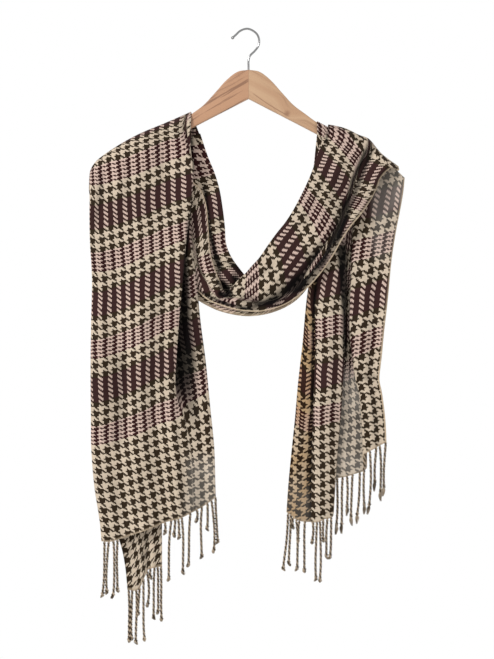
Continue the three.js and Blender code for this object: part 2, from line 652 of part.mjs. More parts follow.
// The place on a hem that has the given X: of the stretches that pass it, the frontmost one.
function placeOnHem(hem, x) {
  const places = [];
  for (let k = 0; k + 1 < hem.length; k += 1) {
    const share = (x - hem[k].x) / (hem[k + 1].x - hem[k].x);
    if (share >= 0 && share <= 1) places.push(hem[k].clone().lerp(hem[k + 1], share));
  }
  return places.length === 0 ? null : places.reduce((front, p) => (p.y < front.y ? p : front));
}

// A fringe: its strip and its strands, joined into one body. The strip stops short of the hem's
// ends by the insets, and a strand starts just under the lowest bit of hem that it spans.
function fringe(hem, strands, startInset = SEAM_GAP, endInset = SEAM_GAP) {
  const last = hem.length - 1;
  const inwards = (from, to, by) => from.clone().add(to.clone().sub(from).setLength(by));
  const start = inwards(hem[0], hem[1], startInset);
  const finish = inwards(hem[last], hem[last - 1], endInset);
  let body = solid(hemStrip([start, ...hem.slice(1, last), finish]));
  for (const [root, tip, end, bow] of strands.rows) {
    const place = placeOnHem(hem, root);
    const reach = [root - STRAND_RADIUS, root, root + STRAND_RADIUS].map((x) => placeOnHem(hem, x));
    const lowest = Math.min(...reach.filter((p) => p !== null).map((p) => p.z));
    const rootZ = lowest - 2 * SEAM_GAP;
    const path = new THREE.QuadraticBezierCurve3(
      point(root, place.y, rootZ),
      point((root + tip) / 2 + 2 * bow, place.y, (rootZ + end) / 2),
      point(tip, place.y, end),
    );
    body = body.add(solid(rod(path, STRAND_RADIUS, STRAND_SIDES, STRAND_STEPS)));
  }
  return geometryOf(body);
}

const LOOKS = {
  wood: { color: 0xc8966f, roughness: 0.5, metalness: 0 },
  steel: { color: 0xd0d0d0, roughness: 0.2, metalness: 1 },
  cloth: { color: 0x8a776a, roughness: 0.9, metalness: 0 },
  yarn: { color: 0x6a5442, roughness: 0.95, metalness: 0 },
};

const group = new THREE.Group();

function add(name, geometry, look) {
  const mesh = new THREE.Mesh(geometry, new THREE.MeshStandardMaterial(LOOKS[look]));
  mesh.name = name;
  group.add(mesh);
}

const leftTail = leftTailGrid();
const leftBack = leftBackGrid();
const swagBack = swagBackGrid(leftTail[0]);
const swagFront = swagFrontGrid();
const rightTail = rightTailGrid(swagFront[swagFront.length - 1]);
const leftHem = leftTail[leftTail.length - 1];
const leftBackHem = leftBack[leftBack.length - 1];
const rightHem = rightTail[rightTail.length - 1];

// Where the hem of the right tail steps up, as points of its last row.
const middleStart = 11;
const outerStart = 16;

add("hanger_body", hangerBody(), "wood");
add("hanger_hook", hangerHook(), "steel");
add("left_tail_front", wall(leftTail), "cloth");
add("left_tail_back", wall(leftBack), "cloth");
add("swag_back", wall(swagBack), "cloth");
add("swag_front", wall(swagFront), "cloth");
add("right_tail", wall(rightTail), "cloth");
add("fringe_left_front", fringe(leftHem, LEFT_FRONT_STRANDS), "yarn");
add("fringe_left_back", fringe(leftBackHem, LEFT_BACK_STRANDS), "yarn");
add("fringe_right_inner", fringe(rightHem.slice(0, middleStart), RIGHT_LEFT_STRANDS), "yarn");
add(
  "fringe_right_middle",
  fringe(rightHem.slice(middleStart, outerStart), RIGHT_MIDDLE_STRANDS, STEP_INSET, STEP_INSET),
  "yarn",
);
add(
  "fringe_right_outer",
  fringe(rightHem.slice(outerStart), RIGHT_OUTER_STRANDS, STEP_INSET),
  "yarn",
);

export default group;
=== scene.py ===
"""A long houndstooth scarf with twisted fringe, draped over a flat wooden clothes hanger.

The frame holds the part's solids. Here every cloth solid is replaced by a thin shell on the same
form, finer and creased, with its own place in the flat cloth as UVs, so that the weave follows it.
The pieces are made in this order:

1. the wooden hanger and its steel hook, from the hanger's outline and the hook's centre line;
2. the left tail, front and under layer, from fold lines read against height;
3. the swag's under and front layer, from sections along its curve;
4. the right tail, from its pleats' fold lines;
5. the fringe of each hem, as two-ply strands with a knot and a loose tuft;
6. the floor, the light and the camera.

Tables are in millimetres and meshes in metres, +Z up, +X to the right and -Y to the front. The
origin is the inside top of the hook.
"""

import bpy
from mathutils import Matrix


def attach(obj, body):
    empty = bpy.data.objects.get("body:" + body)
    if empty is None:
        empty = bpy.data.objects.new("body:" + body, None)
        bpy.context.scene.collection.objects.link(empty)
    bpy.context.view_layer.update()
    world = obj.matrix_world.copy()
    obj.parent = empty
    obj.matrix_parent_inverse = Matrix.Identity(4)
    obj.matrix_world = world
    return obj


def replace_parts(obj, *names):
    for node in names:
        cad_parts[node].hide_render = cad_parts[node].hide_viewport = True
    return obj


bl_info = {
    "name": "Scarf on a Hanger",
    "version": (1, 0, 0),
    "blender": (4, 5, 0),
    "location": "3D View > Sidebar > Scarf",
    "description": "Makes a fringed houndstooth scarf draped over a wooden hanger",
    "category": "Add Mesh",
}

import bmesh
import bpy
import numpy as np
from bpy.props import FloatProperty, FloatVectorProperty, PointerProperty
from bpy.types import Operator, Panel, PropertyGroup
from mathutils import Vector

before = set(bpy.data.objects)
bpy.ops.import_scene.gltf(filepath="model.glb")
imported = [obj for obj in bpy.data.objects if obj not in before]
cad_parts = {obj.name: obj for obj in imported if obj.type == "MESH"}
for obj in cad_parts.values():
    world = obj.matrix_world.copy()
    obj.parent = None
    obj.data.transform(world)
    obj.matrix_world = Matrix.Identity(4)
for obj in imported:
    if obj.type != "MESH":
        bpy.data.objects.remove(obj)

MM = 0.001

# Sizes that the hanger's outline and the cloth's layers share, as in the frame.
WOOD_THICKNESS = 12
CROWN_Z = -57.7
ARM_END = 194
SOCKET_DEPTH = 18
WIRE_RADIUS = 1.5
BALL_RADIUS = 2.4
WALL = 1.2
SEAM_GAP = 0.3
LAP_GAP = 2.2
DROOP = 4.4
DROOP_Y = 2.5
TUCK = 5
FRONT_Y = -16
BACK_Y = 10.5

# Steps of the cloth's grids between two rows of their nets.
DOWN = 8


def table(columns, *rows):
    """A table with named columns; the first one is what the others are read against."""
    return dict(zip(columns, np.array(rows, float).T))


def strand_table(*rows):
    """A fringe: where each strand leaves the hem, where its end hangs, and its sideways bow."""
    return table(["root", "tip", "end", "bow"], *rows)


def crease_table(*rows):
    """Creases or shades: a line's two ends, its width, and its depth or strength."""
    return table(["x0", "z0", "x1", "z1", "width", "depth"], *rows)


# Half of the hanger's outline. Each row is one station along the arm.
ARM = table(
    ["x", "top", "under"],
    [0, -57.7, -99.2], [16, -60.6, -107.4], [32, -72.8, -115.7], [48, -90.6, -123.9],
    [64, -107.8, -132.2], [82, -121.4, -141.5], [98, -133, -150], [124, -146.3, -164],
    [150, -157.6, -176.5], [174, -168.6, -189.5], [186, -176.6, -197], [ARM_END, -187, -193.5],
)

# The hook's centre line, from its free tip over the crown to the wood.
HOOK = table(
    ["x", "z"],
    [-22.8, -11.3], [-18.7, -7.6], [-11.5, -1.2], [-1.7, 1.6], [6.9, -1.6], [12.9, -7.4],
    [15.3, -15.8], [13.8, -23.6], [9, -30.2], [2, -37.4], [0, -44],
)

# The crest of the cloth over each arm, as the height of its fold against X.
LEFT_CREST = table(
    ["x", "z"],
    [-228.5, -214], [-226.2, -200], [-218, -188], [-206, -180.5], [-192, -168], [-179, -160.5],
    [-160, -150.6], [-138, -141], [-110, -129.5], [-82.5, -117.2],
)
RIGHT_CREST = table(
    ["x", "z"],
    [96, -130], [114, -135.6], [124, -136.5], [145, -143.6], [163, -153], [178, -159.5],
    [188, -174], [200, -187.6], [214.8, -195.6], [221, -201.5], [224.4, -212],
)

# Left tail, front layers: X of the outer fold, of the front layer's fold and of the second
# stretch's edge at each height, the depth of the pleat between them, and how sharp it is.
LEFT_TAIL = table(
    ["z", "outer", "fold", "second", "pleat", "sharp"],
    [-130, -228, -81.5, -84, 3, 0.3],
    [-180, -228, -78.3, -84.5, 8, 0.6],
    [-211, -228, -79.2, -84, 14, 1],
    [-264, -227.3, -83.9, -82.5, 20, 1],
    [-304, -226.6, -89.3, -81, 24, 1],
    [-357, -223.6, -93.8, -74.5, 26, 1],
    [-415, -224.7, -99.3, -69.2, 26, 1],
    [-474, -225.6, -103.4, -61.5, 20, 0.9],
    [-505, -225.6, -105, -58.4, 12, 0.7],
    [-552, -225.1, -102, -53.8, 3, 0.45],
    [-598, -224.7, -97, -49.2, 0, 0.35],
    [-654, -220.3, -93, -47.4, 0, 0.4],
    [-705, -212.5, -90, -45.9, 0, 0.45],
    [-740, -209.5, -88, -45.9, 0, 0.45],
)
LEFT_HEM = table(
    ["x", "z"],
    [-210, -732.7], [-197, -733], [-179, -727], [-161, -720.8], [-142, -715], [-118, -705.4],
    [-97, -699.6], [-82, -692.5], [-67, -685], [-54, -676], [-45, -669.4],
)

# Left tail, back layer: how far its outer edge lies inside the tail's outer fold, its inner edge
# and its depth at each height.
LEFT_BACK = table(
    ["z", "inset", "inner", "y"],
    [-190, 9.5, -112, -9.4], [-220, 9.5, -114, -7.8], [-270, 9.5, -119, -4.5],
    [-400, 9.5, -123, -2.5], [-550, 9.5, -124, -2], [-640, 9.8, -124.5, -1.5],
    [-700, 11.5, -124.3, -1], [-738, 26.5, -124.1, -0.5], [-770, 32.5, -124.1, 0],
    [-806, 36, -124.1, 0],
)
LEFT_BACK_HEM = table(
    ["x", "z"],
    [-214, -804], [-173, -804], [-155, -802], [-149, -786], [-143, -775], [-124, -770],
)

# The swag's back layer, from behind the left arm, under the hanger, to the front of the right
# arm. Each row is one section from the outer edge to the inner one, with its depth.
SWAG_BACK = table(
    ["station", "outerX", "outerZ", "innerX", "innerZ", "y"],
    [0, -223, -231, -69.5, -153.5, 10.5],
    [1, -196, -252, -56, -187, 10.5],
    [2, -165, -284, -44.5, -217, 10.2],
    [3, -138, -313, -38, -250, 10],
    [4, -115, -340, -34, -282, 9.5],
    [5, -99, -361, -31, -312, 9],
    [6, -84, -379, -19, -334, 8.2],
    [7, -66, -392, -4, -353, 7.2],
    [8, -45, -402.3, 6, -362, 6],
    [9, -20, -408.9, 18, -358, 4.5],
    [10, 4, -410.9, 32, -347, 3],
    [11, 30, -406.8, 46, -330, 1.5],
    [12, 54, -397.5, 58, -312, 0],
    [13, 74, -383, 68, -290, -1.2],
    [14, 92, -359, 77, -268, -2.2],
    [15, 106, -330, 84, -246, -3.4],
    [16, 118, -298, 89, -223, -5.2],
    [17, 127, -262, 92.5, -203, -7.8],
    [18, 133, -226, 94.5, -184, -9.4],
    [19, 136, -196, 96.5, -165, -9.6],
    [20, 138, -170, 98, -148, -9.6],
)

# The swag's front layer, from behind the left arm along the bottom to the right shoulder. The
# valley is the place of the deep pleat across the width, with its depth, and the lip is how far
# the inner edge turns under.
SWAG_FRONT = table(
    ["station", "outerX", "outerZ", "innerX", "innerZ", "y", "bulge", "valley", "trough", "lip"],
    [0, -196, -219, -116, -174, 7.4, 0, 0.5, 0, 1],
    [1, -170, -245, -95, -200, 6.6, 0.5, 0.5, 0, 2],
    [2, -143, -270, -79, -219, 6.2, 1, 0.5, 0, 3],
    [3, -122, -292, -66.5, -233, 5.4, 1.5, 0.5, 0, 3],
    [4, -108, -314, -60, -258, 4.6, 2, 0.5, 0, 3],
    [5, -99, -334, -58, -287, 3.6, 2.5, 0.5, 0, 3],
    [6, -91, -350, -55.5, -314, 2.6, 3, 0.5, 0, 3],
    [7, -83, -363, -51, -337, 1.6, 3, 0.5, 0, 3],
    [8, -73.4, -374.5, -43, -356, 0.6, 3, 0.5, 0, 3],
    [9, -63.5, -384, -37.5, -370, -0.4, 2, 0.5, 0, 2.5],
    [10, -54, -390, -32.4, -379, -1.4, 1.5, 0.5, 0, 2],
    [11, -40, -395.5, -26.5, -372.5, -2.6, 2, 0.5, 0, 3],
    [12, -25, -400.3, -16.5, -361, -3.8, 3, 0.6, 0, 5],
    [13, -4, -403.6, -5, -350.5, -5, 4, 0.7, 0.5, 7],
    [14, 21, -403.6, 5, -339, -6, 4.5, 0.8, 1, 8],
    [15, 59, -391, 17.5, -325, -7, 5, 0.86, 2, 9],
    [16, 88, -367, 31.7, -304, -8, 5, 0.85, 3, 10],
    [17, 109, -342, 44.5, -287, -9, 5, 0.83, 4, 10],
    [18, 127, -314.5, 56.5, -272, -9.8, 5, 0.86, 4, 10],
    [19, 141, -289, 68.3, -252, -10.8, 5, 0.84, 4, 10],
    [20, 156, -272, 76, -237, -11.8, 4.5, 0.74, 4.5, 10],
    [21, 167, -257, 83.4, -222, -12.8, 4, 0.67, 4.5, 9],
    [22, 176, -243, 90, -206.5, -13.8, 3.5, 0.64, 4, 8],
    [23, 182.5, -230, 95.5, -191, -14.8, 3, 0.62, 4, 7],
    [24, 187.5, -216, 100, -176, -15.2, 2.5, 0.63, 3.5, 6],
    [25, 196, -205, 105, -162.5, -15.2, 2, 0.61, 3, 5],
    [26, 205, -199, 110.5, -151.5, -14.6, 1.5, 0.59, 2, 4],
)

# Right tail: X of its fold lines at each height. The first column is its left outline, and the
# next ones are the edges of the bright middle column, of the set-back one and of the outer one.
RIGHT_TAIL = table(
    ["z", "left", "brightLeft", "brightRight", "outerLeft", "right", "pleat"],
    [-150, 100, 116, 140, 158, 224.2, 0],
    [-214, 100, 115, 140, 156, 224.2, 2],
    [-250, 99, 113, 140, 153, 219.6, 4],
    [-284, 97, 110, 140, 150, 213, 6],
    [-330, 92, 103, 139, 148, 205.8, 8],
    [-388, 83.4, 95.9, 137.9, 146.5, 200.2, 10],
    [-436, 79, 96.5, 137.9, 145.7, 194.6, 12],
    [-475, 75, 96, 136.6, 150.2, 191, 12],
    [-500, 71.8, 95, 135.5, 153.6, 188, 12],
    [-522, 70, 94, 134, 159.6, 192, 12],
    [-561, 66.5, 92.7, 131.6, 162.9, 196.8, 12],
    [-606, 61.8, 91.5, 127.3, 164.3, 198.6, 11],
    [-653, 57.3, 90.7, 124.1, 164.3, 198.6, 10],
    [-710, 53.5, 90, 120.6, 164.3, 198.6, 9],
)
RIGHT_HEM_LEFT = table(
    ["x", "z"],
    [53, -689], [57.3, -697], [68, -703.4], [82, -706.8], [97, -707.5], [109, -703], [122, -698.6],
)
RIGHT_HEM_MIDDLE = table(
    ["x", "z"],
    [118, -649], [131, -648.6], [142, -642], [153, -630],
)
RIGHT_HEM_RIGHT = table(
    ["x", "z"],
    [153, -620], [164, -612.5], [171, -607.6], [183, -600], [199, -592],
)

# Strands of the fringe of each hem.
LEFT_FRONT_STRANDS = strand_table(
    [-206, -208.8, -813.6, 1], [-199.6, -202, -809, -2], [-193, -194.4, -815, 2],
    [-187.2, -187.2, -806.5, -1], [-119.8, -119.8, -724.6, 1], [-110.5, -113.4, -790.7, -2],
    [-104.5, -106.9, -727.5, 0], [-100.4, -99.7, -730.4, 1], [-95.4, -94.7, -780.6, 2],
    [-83.2, -85.4, -770.6, -1], [-73.9, -74.6, -707.5, 1], [-66.7, -66, -759, -2],
    [-58.8, -60.2, -718.9, 1], [-53, -49.5, -750.5, 2], [-47.2, -43, -737.6, -1],
)
LEFT_BACK_STRANDS = strand_table(
    [-172, -172, -879.6, 1], [-166.8, -167.5, -876.8, -1], [-161, -162.6, -882.5, 1],
    [-156, -157.9, -842, -1], [-150.5, -149, -878, -1], [-145.6, -144.9, -829.4, 2],
    [-141, -141.3, -789.3, 0], [-134.9, -135.6, -846.7, -1], [-130.5, -130.6, -839.5, 1],
    [-125.6, -125, -849.5, 0],
)
RIGHT_LEFT_STRANDS = strand_table(
    [57, 49.5, -777.8, 1], [60.5, 56.7, -770.6, 1], [64, 62.4, -717.5, 0], [68.6, 69, -777.8, 2],
    [73, 71.8, -736.2, -1], [81, 81, -780.6, -1], [92.6, 91.2, -739, 1], [98.3, 96.9, -792, -1],
    [102.6, 102.6, -793.6, 1], [107.3, 106.9, -736.2, 0], [113.4, 111.9, -760.5, -1],
    [118.6, 116.5, -760.5, 1],
)
RIGHT_MIDDLE_STRANDS = strand_table(
    [127.7, 126.3, -726, 1], [135.6, 134.9, -724.7, -1], [142, 141.5, -699, 1],
    [150, 148.5, -713.2, -1], [160.5, 155.5, -710.3, 1],
)
RIGHT_OUTER_STRANDS = strand_table(
    [167.2, 166.4, -696, -1], [174.4, 172.6, -696, 2], [183.7, 181.5, -663, -1],
    [188.7, 188.7, -677.3, 2], [197.3, 194.4, -670.1, -1],
)

# Rows of a wrap over an arm: how far each lies below the crest, and its depth.
LEFT_WRAP = table(
    ["drop", "y"],
    [-35, BACK_Y], [-19, BACK_Y], [-7, 9.4], [-1.6, 5], [0, -1], [-2.2, -8], [-9, -13.4],
    [-20, -15.6],
)
RIGHT_WRAP = table(
    ["drop", "y"],
    [-6.5, -13.2], [-1.8, -8.5], [0, -1.5], [-1.2, 5], [-5, 9.3], [-10, BACK_Y],
)

# Where the folds of the left tail lie along the crest of the arm, from left to right.
CREST_SPREAD = np.array(
    [-228, -226.5, -219, -196, -160, -124, -101, -96, -93.6, -91.3, -89, -86, -82.5]
)

# Place of the weave along the scarf, in millimetres from the first hem, on the swag's front layer:
# at its inner edge, beside the deep pleat and at its outer edge.
SWAG_BANDS = table(
    ["station", "inner", "middle", "outer"],
    [0, 604, 604, 640], [3.6, 695, 700, 745], [5.05, 729.5, 738, 790], [6.3, 757, 768, 818],
    [7.6, 784.5, 798, 838], [9, 812, 824, 858], [10.2, 834, 840, 880.8], [12.3, 868, 866, 908],
    [13.2, 880.8, 888, 924], [14.65, 908.3, 930, 952], [16.35, 942.7, 975, 992],
    [17.9, 977, 1010, 1042], [19.4, 1004.6, 1042, 1092], [20.8, 1032, 1070, 1134],
    [22.85, 1066.5, 1104, 1180], [24.4, 1100, 1136, 1208], [26, 1128, 1158, 1232],
)

# The same on the swag's under layer, at its inner and outer edge.
SWAG_UNDER_BANDS = table(
    ["station", "inner", "outer"],
    [0, 622, 640], [0.35, 633, 650], [1.65, 660.7, 686], [2.42, 695, 716], [3.45, 729.5, 756],
    [4.17, 757, 784], [5.25, 784.5, 816], [6.2, 818.9, 850], [7.2, 853.3, 880], [10, 905, 930],
    [14, 990, 1010], [19, 1112, 1118],
)

# The band sequence, counted in weave steps from a hem: a plain houndstooth end, then the repeat.
PLAIN_STEPS = 80
PINK_STEPS = 16
PLUM_START = 36
PLUM_END = 56
REPEAT_STEPS = 72
BAND_REPEATS = 11.222
PINK_CLOSER = 0.25
DARK_SHARE = 4.3
PINK_DARK_SHARE = 2.4
WEFT_STEP = 1.72
SWAY = 0.006
# How much the painted shade darkens the colour where it is full.
FOLD_SHADE = 0.94

# Creases pressed and hung into the cloth. A positive depth stands towards the front.
LEFT_TAIL_CREASES = crease_table(
    [-205, -185, -222, -300, 7, -2.2], [-186, -172, -196, -330, 9, 2],
    [-170, -160, -172, -260, 6, -1.6], [-150, -150, -160, -345, 8, 1.8],
    [-128, -145, -118, -250, 7, -1.6], [-110, -136, -104, -225, 5, 1.4],
    [-214, -330, -208, -560, 10, 1.8], [-180, -420, -190, -640, 12, -2.2],
    [-150, -380, -146, -600, 10, 1.6], [-120, -330, -128, -520, 9, -1.8],
    [-196, -600, -190, -725, 8, 1.6], [-160, -620, -150, -712, 9, -1.5],
    [-118, -560, -108, -690, 10, 1.8], [-76, -480, -70, -660, 8, 1.6],
)
LEFT_UNDER_CREASES = crease_table(
    [-196, -640, -176, -800, 6, 1.8], [-182, -742, -140, -760, 5, -2],
    [-166, -700, -158, -798, 5, 1.6], [-150, -640, -146, -775, 6, -1.4],
    [-132, -640, -134, -765, 5, 1.4],
)
SWAG_CREASES = crease_table(
    [-73.5, -374.3, -10.8, -402.8, 3.2, -2.6], [-78, -250, -66, -345, 4, 1.4],
    [-44, -354, -22, -388, 5, -6.5], [190, -140, 118, -318, 6, -4], [146, -262, 58, -384, 7, -5],
    [-8, -372, 44, -330, 5, -1.8], [8, -384, 74, -330, 6, 1.8], [30, -376, 96, -312, 4, -1.6],
    [56, -300, 96, -212, 6, 1.6], [72, -300, 118, -196, 6, -1.8], [92, -290, 132, -180, 5, 1.8],
    [112, -270, 148, -165, 6, -1.6], [104, -176, 150, -150, 6, 1.2],
    [150, -262, 192, -196, 5, 1.4],
)
SWAG_UNDER_CREASES = crease_table(
    [-43, -356, -20, -386, 7, -6], [-46, -240, -30, -330, 4, -1.6], [-40, -300, -14, -342, 4, 1.6],
    [-42, -349, -16, -365, 4.5, 4.5], [138, -226, 44, -396, 11, -6.5],
    [70, -372, -20, -402, 9, -3],
)
RIGHT_TAIL_CREASES = crease_table(
    [84, -330, 76, -480, 4, 1.2], [118, -330, 114, -520, 6, 1.4], [126, -400, 122, -640, 6, -1.4],
    [104, -430, 100, -640, 6, 1.2], [180.1, -288, 180.1, -388, 2.5, -1.6],
    [172, -236, 168, -330, 5, 1.4], [196, -240, 188, -360, 5, 1.2],
    [150, -499, 192, -499, 6, -2.2], [172, -520, 176, -600, 6, 1.4],
)

# Shades, where no light gets in between the layers.
LEFT_TAIL_SHADES = crease_table(
    [-80, -120, -79, -225, 1.8, 0.8], [-84, -250, -95, -400, 2.6, 1],
)
SWAG_SHADES = crease_table(
    [176, -160, 146, -221, 4.4, 1], [152, -206, 138, -266, 3.6, 1], [144, -236, 124, -308, 6.5, 1],
    [136, -278, 94, -346, 10, 0.95], [114, -314, 58, -382, 13, 1], [84, -352, 20, -399, 11, 0.9],
    [44, -387, -18, -405, 5.5, 0.8], [4, -402, -48, -390, 3.2, 0.8], [24, -390, -18, -386, 7, 0.5],
    [-22, -398, -80, -371, 2.4, 0.9], [-46, -378, -26, -382, 4, 1.3],
    [116, -128, 108, -176, 2, 0.8],
)
SWAG_UNDER_SHADES = crease_table(
    [130, -240, 44, -392, 12, 1.1], [-84, -128, -82, -222, 3.4, 1.2],
    [-65, -216, -56, -292, 3, 1.25], [-61, -268, -38, -362, 3, 1.25],
    [-24, -348, -6, -376, 6, 1.1], [-38, -366, -14, -378, 4, 1.1], [-32, -328, -4, -352, 5, 0.8],
    [-48, -322, -36, -346, 3, 0.7],
)
RIGHT_TAIL_SHADES = crease_table(
    [136, -290, 138, -400, 6, 1.2], [138, -350, 139, -490, 4.5, 1.1],
    [128, -300, 137, -362, 5, 0.9], [100.5, -310, 93.5, -410, 2.4, 0.95],
    [93.5, -370, 91, -550, 2.4, 0.95], [92.5, -500, 87, -715, 2.4, 0.9],
)


def follow(source, name, x):
    """A column's smooth value at x: a cubic in each gap between rows, the slope at a row being that
    of the line from the row before it to the row after it. Past the ends the end values hold."""
    at = next(iter(source.values()))
    order = np.argsort(at)
    at, value = at[order], source[name][order]
    low = np.maximum(np.arange(len(at)) - 1, 0)
    high = np.minimum(np.arange(len(at)) + 1, len(at) - 1)
    slope = (value[high] - value[low]) / (at[high] - at[low])
    x = np.clip(x, at[0], at[-1])
    k = np.clip(np.searchsorted(at, x, side="right") - 1, 0, len(at) - 2)
    width = at[k + 1] - at[k]
    t = (x - at[k]) / width
    return (
        (2 * t**3 - 3 * t**2 + 1) * value[k]
        + (t**3 - 2 * t**2 + t) * width * slope[k]
        + (3 * t**2 - 2 * t**3) * value[k + 1]
        + (t**3 - t**2) * width * slope[k + 1]
    )


def columns_at(source, x):
    """Every column of a table after the first one, at x."""
    return [follow(source, name, x) for name in list(source)[1:]]


def mix(a, b, share):
    """The value that lies at share of the way from a to b."""
    return a + (b - a) * share


def ease(x, low, high):
    """0 below low, 1 above high, and 3t² - 2t³ between them."""
    t = np.clip((x - low) / (high - low), 0, 1)
    return t * t * (3 - 2 * t)


def own(columns):
    """Column k of the k-th array: each fold line is worked out at its own heights."""
    pick = np.arange(len(columns))
    return np.stack(columns)[pick, :, pick].T


def curved(net, steps):
    """A centripetal Catmull-Rom curve through each row of the net, with the given number of steps
    in each gap. A knot's parameter grows by the square root of the chord, and past each end stands
    the mirror of the point beside it."""
    points = np.concatenate([2 * net[:, :1] - net[:, 1:2], net, 2 * net[:, -1:] - net[:, -2:-1]], 1)
    chord = np.sqrt(np.linalg.norm(np.diff(points[..., :3], axis=1), axis=2, keepdims=True))
    chord = np.maximum(chord, 1e-3)
    parts = [net[:, :1]]
    for gap, count in enumerate(steps):
        p0, p1, p2, p3 = (points[:, gap + k : gap + k + 1] for k in range(4))
        d0, d1, d2 = (chord[:, gap + k : gap + k + 1] for k in range(3))
        start = ((p1 - p0) / d0 - (p2 - p0) / (d0 + d1) + (p2 - p1) / d1) * d1
        end = ((p2 - p1) / d1 - (p3 - p1) / (d1 + d2) + (p3 - p2) / d2) * d1
        t = (np.arange(1, count + 1) / count)[None, :, None]
        parts.append(
            p1
            + start * t
            + (3 * (p2 - p1) - 2 * start - end) * t**2
            + (2 * (p1 - p2) + start + end) * t**3
        )
    return np.concatenate(parts, axis=1)


def surface(net, across, along):
    """A smooth grid through a net: curves across each row, then along each column."""
    fine = curved(net, across)
    turned = np.swapaxes(fine, 0, 1)
    return np.swapaxes(curved(turned, [along] * (len(net) - 1)), 0, 1)


def run_of(grid, axis):
    """Arc length from the first point along the given axis of a grid."""
    step = np.linalg.norm(np.diff(grid[..., :3], axis=axis), axis=2)
    start = np.zeros_like(np.take(step, [0], axis=axis))
    return np.concatenate([start, np.cumsum(step, axis=axis)], axis=axis)


def crease_lift(grid, creases):
    """How far each point stands out towards the front: for each crease its depth times a bell of
    the distance from its line, fading out towards both of its ends."""
    x, z = grid[..., 0, None], grid[..., 2, None]
    run_x, run_z = creases["x1"] - creases["x0"], creases["z1"] - creases["z0"]
    length = np.hypot(run_x, run_z)
    t = ((x - creases["x0"]) * run_x + (z - creases["z0"]) * run_z) / length**2
    away = ((x - creases["x0"]) * run_z - (z - creases["z0"]) * run_x) / length
    bend = 0.12 * creases["width"] * np.sin(5 * t + creases["x0"])
    fade = ease(t, -0.05, 0.3) * (1 - ease(t, 0.7, 1.05))
    bell = np.exp(-(((away - bend) / creases["width"]) ** 2))
    return (creases["depth"] * bell * fade).sum(axis=-1)


def creased(plain, creases, finish):
    """The grid moved towards the front by its creases' lift, and the lift."""
    lift = crease_lift(plain, creases) * finish.crease_depth
    grid = plain.copy()
    grid[..., 1] -= lift
    return grid, lift


def painted_shade_of(grid, lift, shades):
    """How much shade is painted on a point: 0 on the open cloth, and 1 at the foot of a
    deep crease or on the middle line of a full shade."""
    return np.maximum(ease(-lift, 0.4, 5.0), np.clip(crease_lift(grid, shades), 0, 1))


# Meshes


def new_piece(name, points, faces, materials, indices, uv=None, attributes=None):
    """A piece from its points in millimetres. uv holds one flat place for each point."""
    mesh = bpy.data.meshes.new(name)
    mesh.from_pydata((np.asarray(points) * MM).tolist(), [], faces)
    for material in materials:
        mesh.materials.append(material)
    mesh.polygons.foreach_set("material_index", np.asarray(indices, np.int32))
    mesh.polygons.foreach_set("use_smooth", np.ones(len(mesh.polygons), bool))
    if uv is not None:
        corner = np.empty(len(mesh.loops), np.int32)
        mesh.loops.foreach_get("vertex_index", corner)
        layer = mesh.uv_layers.new(name="flat")
        layer.data.foreach_set("uv", (np.asarray(uv)[corner] * MM).ravel())
    for key, values in (attributes or {}).items():
        mesh.attributes.new(key, "FLOAT", "POINT").data.foreach_set("value", np.ravel(values))
    mesh.validate()
    piece = bpy.data.objects.new(name, mesh)
    bpy.context.scene.collection.objects.link(piece)
    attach(piece, "root")
    return piece


def cell_faces(rows, columns, start=0):
    """The quads of a grid, row by row, each turned so that cross(along, across) is its outside."""
    index = start + np.arange(rows * columns).reshape(rows, columns)
    return np.stack(
        [index[:-1, :-1], index[1:, :-1], index[1:, 1:], index[:-1, 1:]], axis=-1
    ).reshape(-1, 4)


def shell(grid, thickness):
    """The points and quads of a closed cloth shell: the grid moved half the thickness to both
    sides along its normals, and the two sides joined along the four borders."""
    along = np.gradient(grid[..., :3], axis=0)
    across = np.gradient(grid[..., :3], axis=1)
    normal = np.cross(along, across)
    normal /= np.maximum(np.linalg.norm(normal, axis=2, keepdims=True), 1e-9)
    rows, columns = grid.shape[:2]
    half = thickness / 2 * normal
    points = np.concatenate([grid[..., :3] + half, grid[..., :3] - half]).reshape(-1, 3)
    count = rows * columns
    front = cell_faces(rows, columns)
    back = cell_faces(rows, columns, count)[:, ::-1]
    index = np.arange(count).reshape(rows, columns)
    border = np.concatenate([index[0, :-1], index[:-1, -1], index[-1, :0:-1], index[:0:-1, 0]])
    after = np.roll(border, -1)
    rim = np.stack([border, after, after + count, border + count], axis=-1)
    return points, front, back, rim


def cloth_piece(name, grid, flat, looks, shown, thickness, turned=None):
    """A cloth shell whose two sides have their own look. flat is each point's place in the flat
    cloth. shown says how much of the pale edge a point shows, how much painted shade a fold puts on
    it and how much painted backlight pales it where light comes through. The painted shade goes on
    the side that faces the front alone. turned marks the columns where the cloth's other side faces
    out."""
    points, front, back, rim = shell(grid, thickness)
    half = len(points) // 2
    ahead = points[:half, 1] < points[half:, 1]
    shares = {"hollow": np.concatenate([ahead, ~ahead])}
    rows, columns = grid.shape[:2]
    side = np.zeros(columns - 1, int) if turned is None else np.asarray(turned, int)
    side = np.broadcast_to(side, (rows - 1, columns - 1)).ravel()
    indices = np.concatenate([side, 1 - side, np.full(len(rim), 2)])
    uv = np.tile(flat.reshape(-1, 2), (2, 1))
    piece = new_piece(
        name,
        points,
        np.concatenate([front, back, rim]).tolist(),
        looks,
        indices,
        uv,
        {key: np.tile(values.ravel(), 2) * shares.get(key, 1) for key, values in shown.items()},
    )
    return piece


